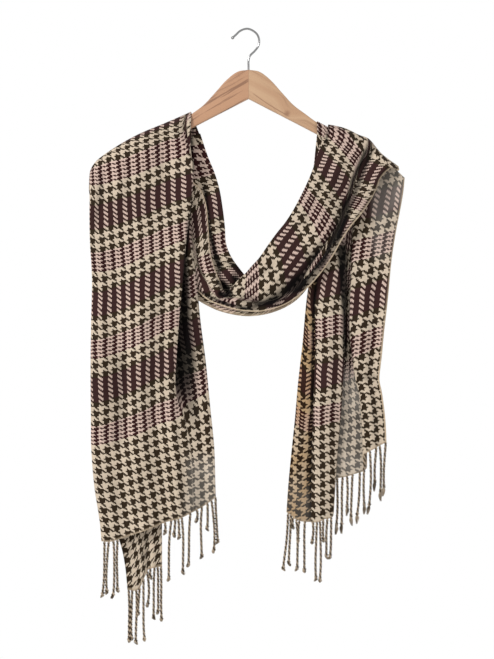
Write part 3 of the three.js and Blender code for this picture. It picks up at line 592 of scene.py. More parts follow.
def tube_faces(count, steps, sides, start=0):
    """The quads between the rings of each tube, then a face over both of its ends. start is the
    number of points before them in the mesh."""
    index = start + np.arange(count * steps * sides).reshape(count, steps, sides)
    after = np.roll(index, -1, axis=2)
    walls = np.stack([index[:, :-1], index[:, 1:], after[:, 1:], after[:, :-1]], axis=-1)
    ends = np.stack([index[:, 0], index[:, -1, ::-1]], axis=1)
    return walls.reshape(-1, 4).tolist() + ends.reshape(-1, sides).tolist()


def tubes(paths, radii, sides, start):
    """Round tubes along many paths at once: at each path point a ring, level across Z, of the
    given radius."""
    angle = 2 * np.pi * np.arange(sides) / sides
    ring = np.stack([np.cos(angle), np.sin(angle), 0 * angle], axis=-1)
    points = paths[:, :, None] + radii[..., None, None] * ring
    return points.reshape(-1, 3), tube_faces(*paths.shape[:2], sides, start)


# Finishes


def operation(kind, swapped=False):
    """A Python operator that makes a Math node of the kind."""

    def act(wire, other):
        return wire.look.math(kind, *((other, wire) if swapped else (wire, other)))

    return act


class Wire:
    """One value in a material's node tree. Arithmetic on it makes the Math nodes for it."""

    def __init__(self, look, socket):
        self.look, self.socket = look, socket

    __add__, __mul__, __truediv__ = operation("ADD"), operation("MULTIPLY"), operation("DIVIDE")
    __sub__, __rsub__ = operation("SUBTRACT"), operation("SUBTRACT", True)
    __mod__, __pow__ = operation("FLOORED_MODULO"), operation("POWER")
    __lt__, __gt__ = operation("LESS_THAN"), operation("GREATER_THAN")


class Look:
    """A material's node tree, with short calls for the nodes that the finishes share."""

    def __init__(self, name):
        self.material = bpy.data.materials.new(name)
        self.material.use_nodes = True
        self.tree = self.material.node_tree
        self.shader = self.tree.nodes["Principled BSDF"]

    def put(self, socket, value):
        if isinstance(value, Wire):
            self.tree.links.new(value.socket, socket)
        else:
            socket.default_value = value

    def node(self, kind, inputs=(), output=0, **settings):
        """The wire from one output of a new node."""
        made = self.tree.nodes.new(kind)
        for key, value in settings.items():
            setattr(made, key, value)
        for key, value in dict(inputs).items():
            self.put(made.inputs[key], value)
        return Wire(self, made.outputs[output])

    def math(self, kind, *values):
        return self.node("ShaderNodeMath", enumerate(values), operation=kind)

    def vector(self, kind, inputs):
        return self.node("ShaderNodeVectorMath", inputs, operation=kind)

    def scaled(self, colour, factor):
        return self.vector("SCALE", {0: colour, 3: factor})

    def blend(self, share, first, second, kind="MIX"):
        inputs = {0: share, 6: first, 7: second}
        return self.node("ShaderNodeMix", inputs, 2, data_type="RGBA", blend_type=kind)

    def noise(self, vector, scale, detail=3.0, roughness=0.55):
        inputs = {"Vector": vector, "Scale": scale, "Detail": detail, "Roughness": roughness}
        return self.node("ShaderNodeTexNoise", inputs)

    def between(self, value, low, high, to_low=0.0, to_high=1.0):
        inputs = {
            "Value": value, "From Min": low, "From Max": high, "To Min": to_low, "To Max": to_high,
        }
        return self.node("ShaderNodeMapRange", inputs, interpolation_type="SMOOTHSTEP")

    def attribute(self, name):
        return self.node("ShaderNodeAttribute", output="Fac", attribute_name=name)

    def object_place(self):
        return self.node("ShaderNodeTexCoord", output="Object")

    def stretched(self, place, *scale):
        return self.node("ShaderNodeMapping", {"Vector": place, "Scale": scale})

    def parts(self, vector):
        """The X, Y and Z of a vector."""
        split = self.node("ShaderNodeSeparateXYZ", {0: vector}).socket.node
        return [Wire(self, socket) for socket in split.outputs]

    def joined(self, *parts):
        return self.node("ShaderNodeCombineXYZ", enumerate(parts))

    def finish(self, colour, roughness, height, distance, strength, **gloss):
        """The finished material. gloss holds the shader's other numbers."""
        bump = {"Strength": strength, "Distance": distance, "Height": height}
        self.put(self.shader.inputs["Base Color"], colour)
        self.put(self.shader.inputs["Roughness"], roughness)
        self.put(self.shader.inputs["Normal"], self.node("ShaderNodeBump", bump))
        for key, value in gloss.items():
            self.shader.inputs[key.replace("_", " ")].default_value = value
        return self.material


def rgba(colour):
    return (*colour, 1.0)


def cloth_look(name, sizes, warp_side, faded=0.0):
    """The two-and-two twill. A point's step across i and along j come from its place in the flat
    cloth. The warp is on top where (i + j) mod 4 is below 2, and on the other side the weft is.
    Four dark and four light threads take turns across. Along, they do in the houndstooth, two by
    two and closer together in the pink band, and all are dark in the plum band. Over the weave lie
    wear and fibres, then a faded side's tan, the light through thin cloth, the pale edge and the
    shade in folds."""
    look = Look(name)
    place = look.object_place()
    flat = look.node("ShaderNodeUVMap", uv_map="flat")
    sway = look.node("ShaderNodeTexNoise", {"Vector": place, "Scale": 28.0, "Detail": 2.0}, "Color")
    centred = look.vector("SUBTRACT", {0: sway, 1: (0.5, 0.5, 0.5)})
    swayed = look.vector("MULTIPLY_ADD", {0: centred, 1: (SWAY, SWAY, 0.0), 2: flat})
    across, along, _ = look.parts(swayed)
    across, along = across / sizes.warp_step, along / sizes.weft_step
    from_hem = along - PLAIN_STEPS
    banded = (from_hem > 0.0) * (from_hem < REPEAT_STEPS * BAND_REPEATS)
    in_repeat = from_hem % REPEAT_STEPS
    pink = banded * (in_repeat < PINK_STEPS)
    along = along + pink * (in_repeat * PINK_CLOSER)

    crossing = look.math("FLOOR", across) + look.math("FLOOR", along)
    warp_top = (crossing + (0.0 if warp_side else 2.0)) % 4 < 2
    plum = banded * ((in_repeat > PLUM_START) * (in_repeat < PLUM_END))
    plain = 1.0 - (pink + plum)
    warp_dark = across % 8 < DARK_SHARE
    weft_dark = plain * (along % 8 < DARK_SHARE) + (pink * (along % 4 < PINK_DARK_SHARE) + plum)
    top_dark = warp_top * warp_dark + (1.0 - warp_top) * weft_dark
    light = look.blend(pink + plum, rgba(sizes.cream), rgba(sizes.pale_pink))
    dark = look.blend(pink, rgba(sizes.olive), rgba(sizes.maroon))
    dark = look.blend(plum, dark, rgba(sizes.plum))
    woven = look.blend(top_dark, light, dark)

    patches = look.noise(place, 9.0, 4.0)
    fibres = look.noise(place, 900.0, 2.0)
    wear = look.between(patches, 0.3, 0.7, 0.9, 1.06)
    toned = look.scaled(woven, wear * look.between(fibres, 0.25, 0.75, 0.88, 1.1))
    if faded:
        worn = look.between(look.noise(place, 22.0, 2.0), 0.3, 0.6, 0.4 * faded, faded)
        toned = look.blend(worn, toned, rgba(sizes.faded_tan), "MULTIPLY")
    # Painted backlight: where the cloth is thin, its colour is paled towards grey as if light came
    # through it.
    thin = look.attribute("sheer") * look.between(patches, 0.35, 0.6, 0.06, 0.17)
    toned = look.blend(thin, toned, rgba(sizes.painted_backlight_grey))
    edged = look.blend(look.attribute("selvedge") * 0.85, toned, rgba(sizes.selvedge))
    # Painted shade: the colour is darkened in folds and between the layers.
    colour = look.scaled(edged, 1.0 - look.attribute("hollow") * FOLD_SHADE)

    warp_crown, weft_crown = (look.math("PINGPONG", step, 0.5) for step in (across, along))
    crown = warp_top * warp_crown + (1.0 - warp_top) * weft_crown
    rough = look.between(fibres, 0.2, 0.8, 0.82, 0.97)
    gloss = {"Sheen Weight": 0.03, "Sheen Roughness": 0.5, "Specular IOR Level": 0.06}
    return look.finish(colour, rough, crown + fibres * 0.5, 0.0006, 0.6, **gloss)


def yarn_look(name, colour, pale):
    """Spun wool: fine streaks wound round the yarn, between the colour and its paler fibres."""
    look = Look(name)
    place = look.object_place()
    fibres = look.noise(look.stretched(place, 900.0, 900.0, 260.0), 1.0, 4.0)
    mixed = look.blend(look.between(fibres, 0.35, 0.75), rgba(colour), rgba(pale))
    toned = look.scaled(mixed, look.between(look.noise(place, 60.0, 2.0), 0.3, 0.7, 0.8, 1.1))
    rough = look.between(fibres, 0.2, 0.8, 0.85, 0.98)
    gloss = {"Sheen Weight": 0.04, "Specular IOR Level": 0.08}
    return look.finish(toned, rough, fibres, 0.0004, 0.7, **gloss)


def wood_look(sizes):
    """Oiled wood, its grain running down each arm from a joint at the middle: noise drawn out
    along the arm, with darker streaks, and on the right half a knot that the grain bends round
    and a dark line from the joint to it."""
    look = Look("oiled_wood")
    x, y, z = look.parts(look.object_place())
    right = x > 0.0
    reach = look.math("ABSOLUTE", x)
    along = reach * 0.86 - z * 0.51
    across = z * 0.86 + reach * 0.51
    near = look.math("SQRT", (x - 0.0552) ** 2.0 + (z + 0.1205) ** 2.0)
    knot = look.between(near, 0.0, 0.007, 1.0, 0.0)
    halo = look.between(near, 0.002, 0.03, 1.0, 0.0)
    moved = across + halo * 0.011 + right * 0.37
    grain_place = look.joined(along * 9.0, moved * 210.0, y * 60.0)
    grain = look.noise(grain_place, 1.0, 4.0, 0.6)
    broad = look.noise(look.joined(along * 4.0, moved * 70.0, y), 1.0, 2.0)
    pores = look.noise(grain_place, 4.0, 2.0)
    base = look.blend(right, rgba(sizes.wood_left), rgba(sizes.wood_right))
    warm = look.blend(look.between(broad, 0.35, 0.7, 0.0, 0.6), base, rgba(sizes.wood_warm))
    left_streak = look.between(grain, 0.52, 0.62, 0.0, 0.95) * (1.0 - right)
    right_streak = look.between(grain, 0.54, 0.74, 0.0, 0.6) * right
    sag = look.math("SINE", x * 60.0) * 0.0016
    off_line = look.math("ABSOLUTE", z + x * 0.66 + 0.0869 + sag)
    along_line = look.between(x, 0.002, 0.012) * look.between(x, 0.052, 0.062, 1.0, 0.0)
    line = look.between(off_line, 0.0002, 0.0014, 0.75, 0.0) * along_line
    joint = look.between(reach, 0.0, 0.0009, 0.35, 0.0)
    colour = warm
    for share in (left_streak + right_streak, line, knot * 0.8, joint):
        colour = look.blend(share, colour, rgba(sizes.wood_streak))
    rough = look.between(pores, 0.2, 0.8, 0.42, 0.62)
    gloss = {"Coat Weight": 0.12, "Coat Roughness": 0.35}
    return look.finish(colour, rough, grain * 0.6 + pores * 0.4, 0.0003, 0.25, **gloss)


def steel_look(sizes):
    """Polished wire: bright metal with drawing lines and a few duller spots."""
    look = Look("polished_steel")
    place = look.object_place()
    lines = look.noise(look.stretched(place, 60.0, 900.0, 60.0), 1.0, 3.0)
    spots = look.noise(place, 120.0, 3.0)
    dull = look.between(spots, 0.5, 0.75, 0.0, 0.7)
    colour = look.blend(dull, rgba(sizes.steel), rgba(sizes.steel_dull))
    rough = look.between(spots, 0.3, 0.75, 0.14, 0.34)
    return look.finish(colour, rough, lines, 0.0001, 0.2, Metallic=1.0)


def floor_look():
    """Matt pale paper with a faint tooth."""
    look = Look("pale_floor")
    place = look.object_place()
    tooth = look.noise(place, 160.0, 3.0)
    colour = look.blend(look.noise(place, 2.0, 2.0), (0.86, 0.86, 0.85, 1), (0.92, 0.92, 0.91, 1))
    return look.finish(colour, look.between(tooth, 0.3, 0.7, 0.85, 0.97), tooth, 0.0004, 0.3)


# Sizes and colours


def length(label, text, default):
    return FloatProperty(name=label, description=text, default=default, unit="LENGTH", precision=5)


def colour(label, text, default):
    return FloatVectorProperty(
        name=label, description=text, default=default, size=3, min=0, max=1, subtype="COLOR"
    )


class ScarfSizes(PropertyGroup):
    """The cloth's thickness, weave and creases, and the sizes of a fringe strand."""

    thickness: length("Cloth thickness", "From one face of the cloth to the other", 0.0009)
    warp_step: length("Warp step", "Width of one weave step across the scarf", 0.00192)
    weft_step: length("Weft step", "Length of one weave step along the scarf", WEFT_STEP * MM)
    crease_depth: FloatProperty(
        name="Crease depth", description="How deep the creases are", default=1.0, subtype="FACTOR"
    )
    ply_radius: length("Ply radius", "Half the thickness of one ply of a strand", 0.00118)
    twist: length("Twist length", "Length of strand in which its plies turn once", 0.0075)
    tuft: length("Tuft length", "Length of the loose tuft below a strand's knot", 0.014)


class ScarfColours(PropertyGroup):
    """The yarns of the cloth and fringe, and the hanger's wood and steel."""

    cream: colour("Cream", "Light yarn of the houndstooth", (0.42, 0.345, 0.265))
    olive: colour("Olive brown", "Dark yarn of the houndstooth", (0.020, 0.0125, 0.0065))
    pale_pink: colour("Pale pink", "Light yarn of the pink and plum bands", (0.43, 0.32, 0.27))
    maroon: colour("Maroon", "Dark yarn of the pink band", (0.020, 0.0055, 0.0050))
    plum: colour("Plum", "Dark yarn of the plum band", (0.027, 0.0115, 0.0105))
    selvedge: colour("Selvedge", "Yarn along the cloth's edges", (0.46, 0.36, 0.25))
    faded_tan: colour("Faded tan", "What the wrong side fades to", (0.74, 0.60, 0.42))
    # The grey that painted backlight pales thin cloth towards.
    painted_backlight_grey: colour("Light through", "What thin cloth pales to", (0.46, 0.43, 0.39))
    wood_left: colour("Left wood", "Wood of the left arm", (0.33, 0.175, 0.095))
    wood_right: colour("Right wood", "Wood of the right arm", (0.37, 0.235, 0.135))
    wood_warm: colour("Warm wood", "Broad grain of both arms", (0.28, 0.145, 0.075))
    wood_streak: colour("Wood streak", "Dark grain and the knot", (0.17, 0.078, 0.038))
    steel: colour("Steel", "The hook's bright metal", (0.24, 0.24, 0.24))
    steel_dull: colour("Dull steel", "The hook's duller spots", (0.05, 0.05, 0.05))


class Finish:
    """Sizes and colours together, read by the looks."""

    def __init__(self, scene):
        self.parts = (scene.scarf_sizes, scene.scarf_colours)

    def __getattr__(self, name):
        part = next(p for p in self.parts if hasattr(p, name))
        value = getattr(part, name)
        return value if isinstance(value, float) else tuple(value)


def look_of(name, make, *settings):
    """The material of that name, made on its first use."""
    return bpy.data.materials.get(name) or make(name, *settings)


def cloth_looks(finish):
    """The looks of a cloth piece: its warp side, its weft side and its cut edge."""
    return [
        look_of("twill_right_side", cloth_look, finish, True),
        look_of("twill_wrong_side", cloth_look, finish, False),
        look_of("cut_edge", yarn_look, finish.selvedge, finish.cream),
    ]


def faded_looks(finish):
    """The same looks with a faded wrong side."""
    right, _, edge = cloth_looks(finish)
    return [right, look_of("twill_faded_side", cloth_look, finish, False, 1.0), edge]


# Hanger


def arm_sections():
    """Sections of the hanger across X: a rectangle between the outline's two edges and the two
    faces, its corners rounded by a quarter circle each."""
    x = np.linspace(-ARM_END, ARM_END, 261)
    top, under = columns_at(ARM, abs(x))
    corner = np.minimum(2.2, 0.45 * (top - under))[:, None]
    turn = np.linspace(0, np.pi / 2, 6)
    quarter = np.concatenate([turn, turn + np.pi / 2, turn + np.pi, turn + 1.5 * np.pi])
    toward_y = np.repeat([1, -1, -1, 1], len(turn))
    toward_z = np.repeat([1, 1, -1, -1], len(turn))
    half = WOOD_THICKNESS / 2
    middle = ((top + under) / 2)[:, None]
    tall = ((top - under) / 2)[:, None]
    y = toward_y * (half - corner) + corner * np.cos(quarter)
    z = middle + toward_z * (tall - corner) + corner * np.sin(quarter)
    return np.stack([np.broadcast_to(x[:, None], y.shape), y, z], axis=-1)


def hook_path():
    """The hook's centre line from its tip to its foot in the wood."""
    foot = CROWN_Z - SOCKET_DEPTH + SEAM_GAP
    bends = np.stack([HOOK["x"], 0 * HOOK["x"], HOOK["z"]], axis=-1)
    neck = np.array([[0, 0, -52], [0, 0, (foot - 52) / 2], [0, 0, foot]], float)
    points = np.concatenate([bends, neck])
    return curved(points[None], [12] * (len(points) - 1))[0]


def swept(path, radius, sides=20):
    """A round section carried along a path in the plane Y = 0: its ring lies across the path's
    own direction."""
    forward = np.gradient(path, axis=0)
    forward /= np.linalg.norm(forward, axis=1, keepdims=True)
    level = np.array([0.0, 1.0, 0.0])
    aside = np.cross(level, forward)
    angle = 2 * np.pi * np.arange(sides) / sides
    ring = level * np.cos(angle)[None, :, None] + aside[:, None] * np.sin(angle)[None, :, None]
    return path[:, None] + np.reshape(radius, (-1, 1, 1)) * ring


def turned_out(piece):
    """The piece with its normals recalculated to face outwards."""
    mesh = bmesh.new()
    mesh.from_mesh(piece.data)
    bmesh.ops.recalc_face_normals(mesh, faces=mesh.faces)
    mesh.to_mesh(piece.data)
    mesh.free()
    return piece


class SCARF_OT_hanger(Operator):
    """Make the wooden hanger and its steel hook"""

    bl_idname = "scarf.hanger"
    bl_label = "Hanger"

    def execute(self, context):
        finish = Finish(context.scene)
        sections = arm_sections()
        faces = tube_faces(1, *sections.shape[:2])
        wood = new_piece(
            "wooden_hanger", sections.reshape(-1, 3), faces, [wood_look(finish)], [0] * len(faces)
        )
        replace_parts(turned_out(wood), "hanger_body")

        path = hook_path()
        wire = swept(path, np.full(len(path), WIRE_RADIUS))
        rows, sides = wire.shape[:2]
        reach = np.linspace(-BALL_RADIUS, BALL_RADIUS, 15)
        outward = path[0] - path[1]
        outward /= np.linalg.norm(outward)
        ball_radii = np.sqrt(np.maximum(BALL_RADIUS**2 - reach**2, 0.15**2))
        ball = swept(path[0] + reach[:, None] * outward, ball_radii)
        faces = tube_faces(1, rows, sides) + tube_faces(1, len(reach), sides, rows * sides)
        points = np.concatenate([wire.reshape(-1, 3), ball.reshape(-1, 3)])
        hook = new_piece("steel_hook", points, faces, [steel_look(finish)], [0] * len(faces))
        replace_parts(turned_out(hook), "hanger_hook")
        return {"FINISHED"}


# Left tail. Steps of the grids between two fold lines, the pleat's root, and the heights at which
# the fold lines meet a hem or the arm.

LEFT_TAIL_ACROSS = [4, 8, 10, 10, 10, 8, 8, 6, 6, 8, 6, 8]
LEFT_UNDER_ACROSS = [4, 8, 8, 6, 6, 6, 6]
ROOT_COLUMN = sum(LEFT_TAIL_ACROSS[:9])
LEFT_HEM_Z = -700.0
UNDER_TOP_Z = -190.0
UNDER_HEM_Z = -800.0


def left_tail_folds(z):
    """X and Y of the left tail's fold points at their heights: from the turned outer fold across
    the front layer, round its fold into the pleat, and out to the second stretch's edge."""
    outer, fold, second, pleat, sharp = columns_at(LEFT_TAIL, z)
    soft = 1 - sharp
    wave = ease(-z, 260, 560)
    root = fold - pleat + 22 * soft
    level = 0 * z
    x = [
        outer + 9, outer, outer + 12, mix(outer, fold, 0.3), mix(outer, fold, 0.52),
        mix(outer, fold, 0.76), fold - 9, fold, mix(fold, root, 0.6), root,
        mix(root, second, 0.45), second - 6, second,
    ]
    y = [
        level + 8, level + 4, level, 1.2 + 4.2 * wave, 0.4 - 3.6 * wave, 1 + 4.6 * wave,
        -1.6 - 2 * wave, level + 1.6, 6.6 * sharp + 2.5 * soft, 13 * sharp + 3 * soft,
        16.5 * sharp + 2 * soft, 8 * sharp + 1.5 * soft, 9.6 * sharp + 4 * soft,
    ]
    return own(x), FRONT_Y + own(y)


def left_tail_net():
    """Rows of the left tail's front: behind the arm, over its crest, and down to the slanting hem.
    The last value of a point is its place along the scarf."""
    count = len(CREST_SPREAD)
    crest = follow(LEFT_CREST, "z", CREST_SPREAD)
    hem_x = left_tail_folds(np.full((1, count), LEFT_HEM_Z))[0][0]
    hem = follow(LEFT_HEM, "z", hem_x)
    drop, depth = LEFT_WRAP["drop"][:, None], LEFT_WRAP["y"][:, None]
    behind = np.where(depth > 0, -drop / 35, 0)
    wrap_x = CREST_SPREAD + 13.5 * behind * (np.arange(count) / (count - 1)) ** 2
    wrap_z = crest + drop - WALL / 2
    reach = np.where(depth < 0, left_tail_folds(wrap_z)[1] / FRONT_Y, 1)
    step = np.hypot(np.diff(LEFT_WRAP["drop"]), np.diff(LEFT_WRAP["y"]))
    path = np.append(np.cumsum(step[::-1])[::-1], 0)[:, None]
    start = crest - 20
    level = np.arange(1, 23)[:, None] / 22
    z = mix(start, hem, level)
    fold_x, fold_y = left_tail_folds(z)
    x = mix(CREST_SPREAD, fold_x, ease(start - z, 0, 55))
    return np.stack(
        [
            np.concatenate([wrap_x, x]),
            np.concatenate([depth * reach, fold_y]),
            np.concatenate([wrap_z, z]),
            np.concatenate([start - hem + path, z - hem]),
        ],
        axis=-1,
    )


def left_tail_grid():
    """The left tail's front as a fine grid."""
    return surface(left_tail_net(), LEFT_TAIL_ACROSS, DOWN)


def left_tail_flat(grid):
    """The left tail's place in the flat cloth: across, from its left fold as far as the pleat, and
    beyond it from the second stretch's edge; along, its height over the hem, less what the second
    stretch was pulled up."""
    run = run_of(grid, 1)
    slack = (run.max() - run[:, -1:]) * ease(-grid[..., 2], 200, 300)
    column = np.arange(grid.shape[1])
    u = run + slack * (column >= ROOT_COLUMN)
    height = grid[..., 3]
    second = ease(column, ROOT_COLUMN - 5, ROOT_COLUMN + 6)
    pulled = mix(23, 36, ease(height, 220, 360)) * second * ease(height, 90, 200)
    slant = 11 * ease(column, 0.3 * ROOT_COLUMN, 0.8 * ROOT_COLUMN) * ease(height, 100, 250)
    over_arm = 14 * ease(height, 540, 572)
    return np.stack([u, height - pulled - slant * (1 - second) + over_arm], axis=-1)


def pleat_painted_shade(grid):
    """The painted shade deep in the left tail's pleat, from how far a point lies behind its front.
    """
    return ease(grid[..., 1] - FRONT_Y, 6, 12.5) * ease(-grid[..., 2], 190, 215)


def left_under_grid():
    """The left tail's under layer, from the front of the arm to its lower corner."""
    shares = np.array([0, 0.1, 0.3, 0.5, 0.62, 0.74, 0.88, 1])
    ripple = np.array([0, -0.6, 1.4, -0.8, 2.6, -1.6, 1.2, 0])

    def place(z):
        outer = follow(LEFT_TAIL, "outer", z) + follow(LEFT_BACK, "inset", z)
        return mix(outer, follow(LEFT_BACK, "inner", z), shares)

    level = np.arange(18)[:, None] / 17
    top = follow(LEFT_CREST, "z", place(np.full(len(shares), UNDER_TOP_Z))) - 22
    hem = follow(LEFT_BACK_HEM, "z", place(np.full(len(shares), UNDER_HEM_Z)))
    z = mix(top, hem, level)
    y = follow(LEFT_BACK, "y", z) + ripple * ease(-z, 240, 700)
    joined = (shares == 0) * (1 - ease(-z, 690, 750))
    net = np.stack([place(z), mix(y, FRONT_Y + 8.2, joined), z, z - hem], axis=-1)
    return surface(net, LEFT_UNDER_ACROSS, DOWN)


# Swag. The wraps begin at the last station of the sections, and the front layer's place across
# the flat cloth is counted from SWAG_START.

SWAG_ACROSS = [4, 10, 12, 10, 8, 8]
SWAG_UNDER_ACROSS = [4, 10, 12, 10, 6]
UNDER_WRAP_STATION = 19
WRAP_STATION = 26
RIGHT_WRAP_START = 114.3
RIGHT_WRAP_RUN = np.array([8, 0, 24, 44, 58, 76, 100.5])
RIGHT_WRAP_STATION = [26.4, 26.8, 27.1, 27.4, 27.7, 28.0]
SWAG_START = 400


def swag_under_net(wrap_edge):
    """Sections of the swag's under layer, each from its outer to its inner edge. The last two
    values of a point are its station and its share of the width."""
    shares = np.array([0, 0.12, 0.36, 0.64, 0.88, 1])
    crown = np.array([1.2, -0.4, -1.4, 1.2, -0.8, 0.6])
    station = np.arange(0, 20.001, 0.8)[:, None]
    x, z, inner_x, inner_z, y = columns_at(SWAG_BACK, station)
    x, z = mix(x, inner_x, shares), mix(z, inner_z, shares)
    y = y + crown * ease(station, 0.5, 4) * (1 - ease(station, 14, 18))
    order = np.argsort(wrap_edge[:, 0])
    z[0] = np.interp(x[0], wrap_edge[order, 0], wrap_edge[order, 2]) + TUCK
    y[0] = BACK_Y - 2
    net = np.stack([x, y, z, station + 0 * x, shares + 0 * x], axis=-1)
    over = []
    for depth, rise, ahead in ((-9.2, -4, 0.6), (-7.4, 0.9, 0.9), (-4.2, 1.5, 1.1)):
        row = net[-1].copy()
        row[:, 1] = depth
        row[:, 2] = follow(ARM, "top", row[:, 0]) + rise
        row[:, 3] += ahead
        over.append(row)
    return np.concatenate([net, over])


def swag_sections(station):
    """Fold points of the swag's front layer at its stations: the turned-under lip, the inner fold,
    the full front, the deep pleat and the outer edge."""
    outer_x, outer_z, inner_x, inner_z, y, bulge, valley, trough, lip = columns_at(
        SWAG_FRONT, station
    )
    width = np.hypot(outer_x - inner_x, outer_z - inner_z)
    level = 0 * y
    shares = np.concatenate(
        [lip / width, level, valley * 0.3, valley * 0.72, valley, mix(valley, 1, 0.45), level + 1],
        axis=1,
    )
    turn = np.minimum(1, lip / 6)
    depths = np.concatenate(
        [3.2 * turn + 0.8, level + 1.2, -bulge, -bulge * 0.7, trough, -bulge * 0.4, level + 1],
        axis=1,
    )
    kept = shares.copy()
    kept[:, 0] = 0
    x, z = mix(inner_x, outer_x, shares), mix(inner_z, outer_z, shares)
    return np.stack([x, y + depths, z, station + 0 * x, kept], axis=-1)


def swag_net():
    """Sections of the swag's front layer, and its wrap over the right arm."""
    sections = swag_sections(np.linspace(0, WRAP_STATION, 29)[:, None])
    shares = sections[-1, :, 4]
    x = RIGHT_WRAP_START + RIGHT_WRAP_RUN
    drop, depth = RIGHT_WRAP["drop"][:, None], RIGHT_WRAP["y"][:, None]
    z = follow(RIGHT_CREST, "z", x) + drop - WALL / 2 - 1.6 * (RIGHT_WRAP_RUN == 8)
    station = np.array(RIGHT_WRAP_STATION)[:, None]
    wrap = np.stack([x + 0 * z, depth + 0 * z, z, station + 0 * z, shares + 0 * z], axis=-1)
    return np.concatenate([sections, wrap])


def swag_grid():
    """The swag's front layer as a fine grid."""
    return surface(swag_net(), SWAG_ACROSS, DOWN)


def run_past(grid, station):
    """Arc length along the swag from the station on, and 0 before it."""
    run = run_of(grid, 0)
    return np.maximum(run - run[np.argmax(grid[:, 0, 3] >= station)], 0)


def swag_flat(grid):
    """The swag's place in the flat cloth: across, its distance from the inner edge; along, read
    from the bands at its inner edge, beside the pleat and beyond it."""
    station, share = grid[..., 3], grid[..., 4]
    valley = follow(SWAG_FRONT, "valley", station)
    inner, middle, outer = columns_at(SWAG_BANDS, station)
    beyond = ease(share, valley - 0.04, valley + 0.05)
    past = run_past(grid, WRAP_STATION)
    v = mix(inner, middle, np.clip(share / valley, 0, 1)) + (outer - middle) * beyond + past
    return np.stack([SWAG_START - run_of(grid, 1), v], axis=-1)


def swag_under_flat(grid):
    """The under layer's place in the flat cloth, read in the same way."""
    station, share = grid[..., 3], grid[..., 4]
    inner, outer = columns_at(SWAG_UNDER_BANDS, station)
    across = run_of(grid, 1)
    v = mix(outer, inner, share) + run_past(grid, UNDER_WRAP_STATION)
    return np.stack([across[:, -1:] - across, v], axis=-1)


# Right tail. Where its columns start in the grid, the heights at which the fold lines meet the hem
# and the arm, and its left fold's place across the flat cloth.

RIGHT_TAIL_ACROSS = [8, 8, 8, 8, 10, 8, 6, 8, 8, 6, 8, 8, 8]
TURNED_COLUMN = sum(RIGHT_TAIL_ACROSS[:2])
MIDDLE_COLUMN = sum(RIGHT_TAIL_ACROSS[:7])
OUTER_COLUMN = sum(RIGHT_TAIL_ACROSS[:10])
RIGHT_HEM_Z = -690.0
RIGHT_TOP_Z = -160.0
RIGHT_START = 340


def right_tail_folds(z):
    """X and Y of the right tail's fold points at their heights, from its left outline across the
    bright column and the set-back one to its right edge."""
    left, bright_left, bright_right, outer_left, right, pleat = columns_at(RIGHT_TAIL, z)
    deep = pleat / 12
    x = [
        left, mix(left, bright_left, 0.5), bright_left + pleat * 0.9, bright_left,
        mix(bright_left, bright_right, 0.3), mix(bright_left, bright_right, 0.7), bright_right,
        bright_right - pleat * 0.4, mix(bright_right, outer_left, 0.5), outer_left + pleat * 0.55,
        outer_left, mix(outer_left, right, 0.4), mix(outer_left, right, 0.72), right,
    ]
    y = [
        9.5 - deep, 9.6 - 4 * deep, 10 + 4.5 * deep, 10.4 - 4 * deep, 10.5 - 10 * deep,
        10.5 - 9 * deep, 10.5 - 4 * deep, 11 + 3.5 * deep, 11 + 6 * deep, 11 + 5.6 * deep,
        10.6 - 0.5 * deep, 10.5 - 6.6 * deep, 10.5 - deep, 10.2 - 4 * deep,
    ]
    return own(x), own(y)


def right_tail_net(wrap_edge):
    """Rows of the right tail, from the right wrap's edge down to the stepped hem. Beyond that edge
    it hangs from the crest's drooping end."""
    count = len(RIGHT_TAIL_ACROSS) + 1
    hem_x = right_tail_folds(np.full((1, count), RIGHT_HEM_Z))[0][0]
    hems = [RIGHT_HEM_LEFT] * 7 + [RIGHT_HEM_MIDDLE] * 3 + [RIGHT_HEM_RIGHT] * 4
    hem = np.array([follow(source, "z", x) for source, x in zip(hems, hem_x)])
    top_x = right_tail_folds(np.full((1, count), RIGHT_TOP_Z))[0][0]
    order = np.argsort(wrap_edge[:, 0])
    edge_z = np.interp(top_x, wrap_edge[order, 0], wrap_edge[order, 2])
    wrap_end = wrap_edge[:, 0].max()
    past_arm = ease(top_x, ARM_END - 8, ARM_END + 6)
    crest = follow(RIGHT_CREST, "z", top_x)
    under_wrap = crest - mix(DROOP, WALL / 2, ease(top_x, wrap_end, wrap_end + 6))
    top = mix(edge_z - LAP_GAP, under_wrap, past_arm)
    level = np.arange(22)[:, None] / 21
    z = mix(top, hem, level)
    x, y = right_tail_folds(z)
    y = mix(mix(BACK_Y, DROOP_Y, past_arm), y, ease(level, 0.02, 0.2))
    return np.stack([x, y, z, z - hem], axis=-1)


def right_tail_flat(grid):
    """The right tail's place in the flat cloth: across, its distance from the bright column's left
    fold, and on the outer flap from the right edge; along, what its height over the hem leaves of
    the scarf's length."""
    run = run_of(grid, 1)
    column = np.arange(grid.shape[1])
    height = grid[..., 3]
    outer = ease(column, MIDDLE_COLUMN, OUTER_COLUMN)
    lean = 0.07 * (column < TURNED_COLUMN) * height - 12 * outer * ease(height, 120, 320)
    from_fold = run - run[:, TURNED_COLUMN : TURNED_COLUMN + 1]
    slack = from_fold[:, -1].max() - from_fold[:, -1:]
    across = RIGHT_START + np.where(column < TURNED_COLUMN, from_fold, -from_fold - slack * outer)
    last_pink = (PLAIN_STEPS + 11 * REPEAT_STEPS + PINK_STEPS) * WEFT_STEP
    longer = 0.045 * np.maximum(height - 230, 0)
    return np.stack([across, last_pink + 139 - height - lean + longer], axis=-1)


# Fringe

STRAND_STEPS = 56
PLY_SIDES = 7
TUFT_FIBRES = 24
FIBRE_STEPS = 8
FIBRE_SIDES = 4


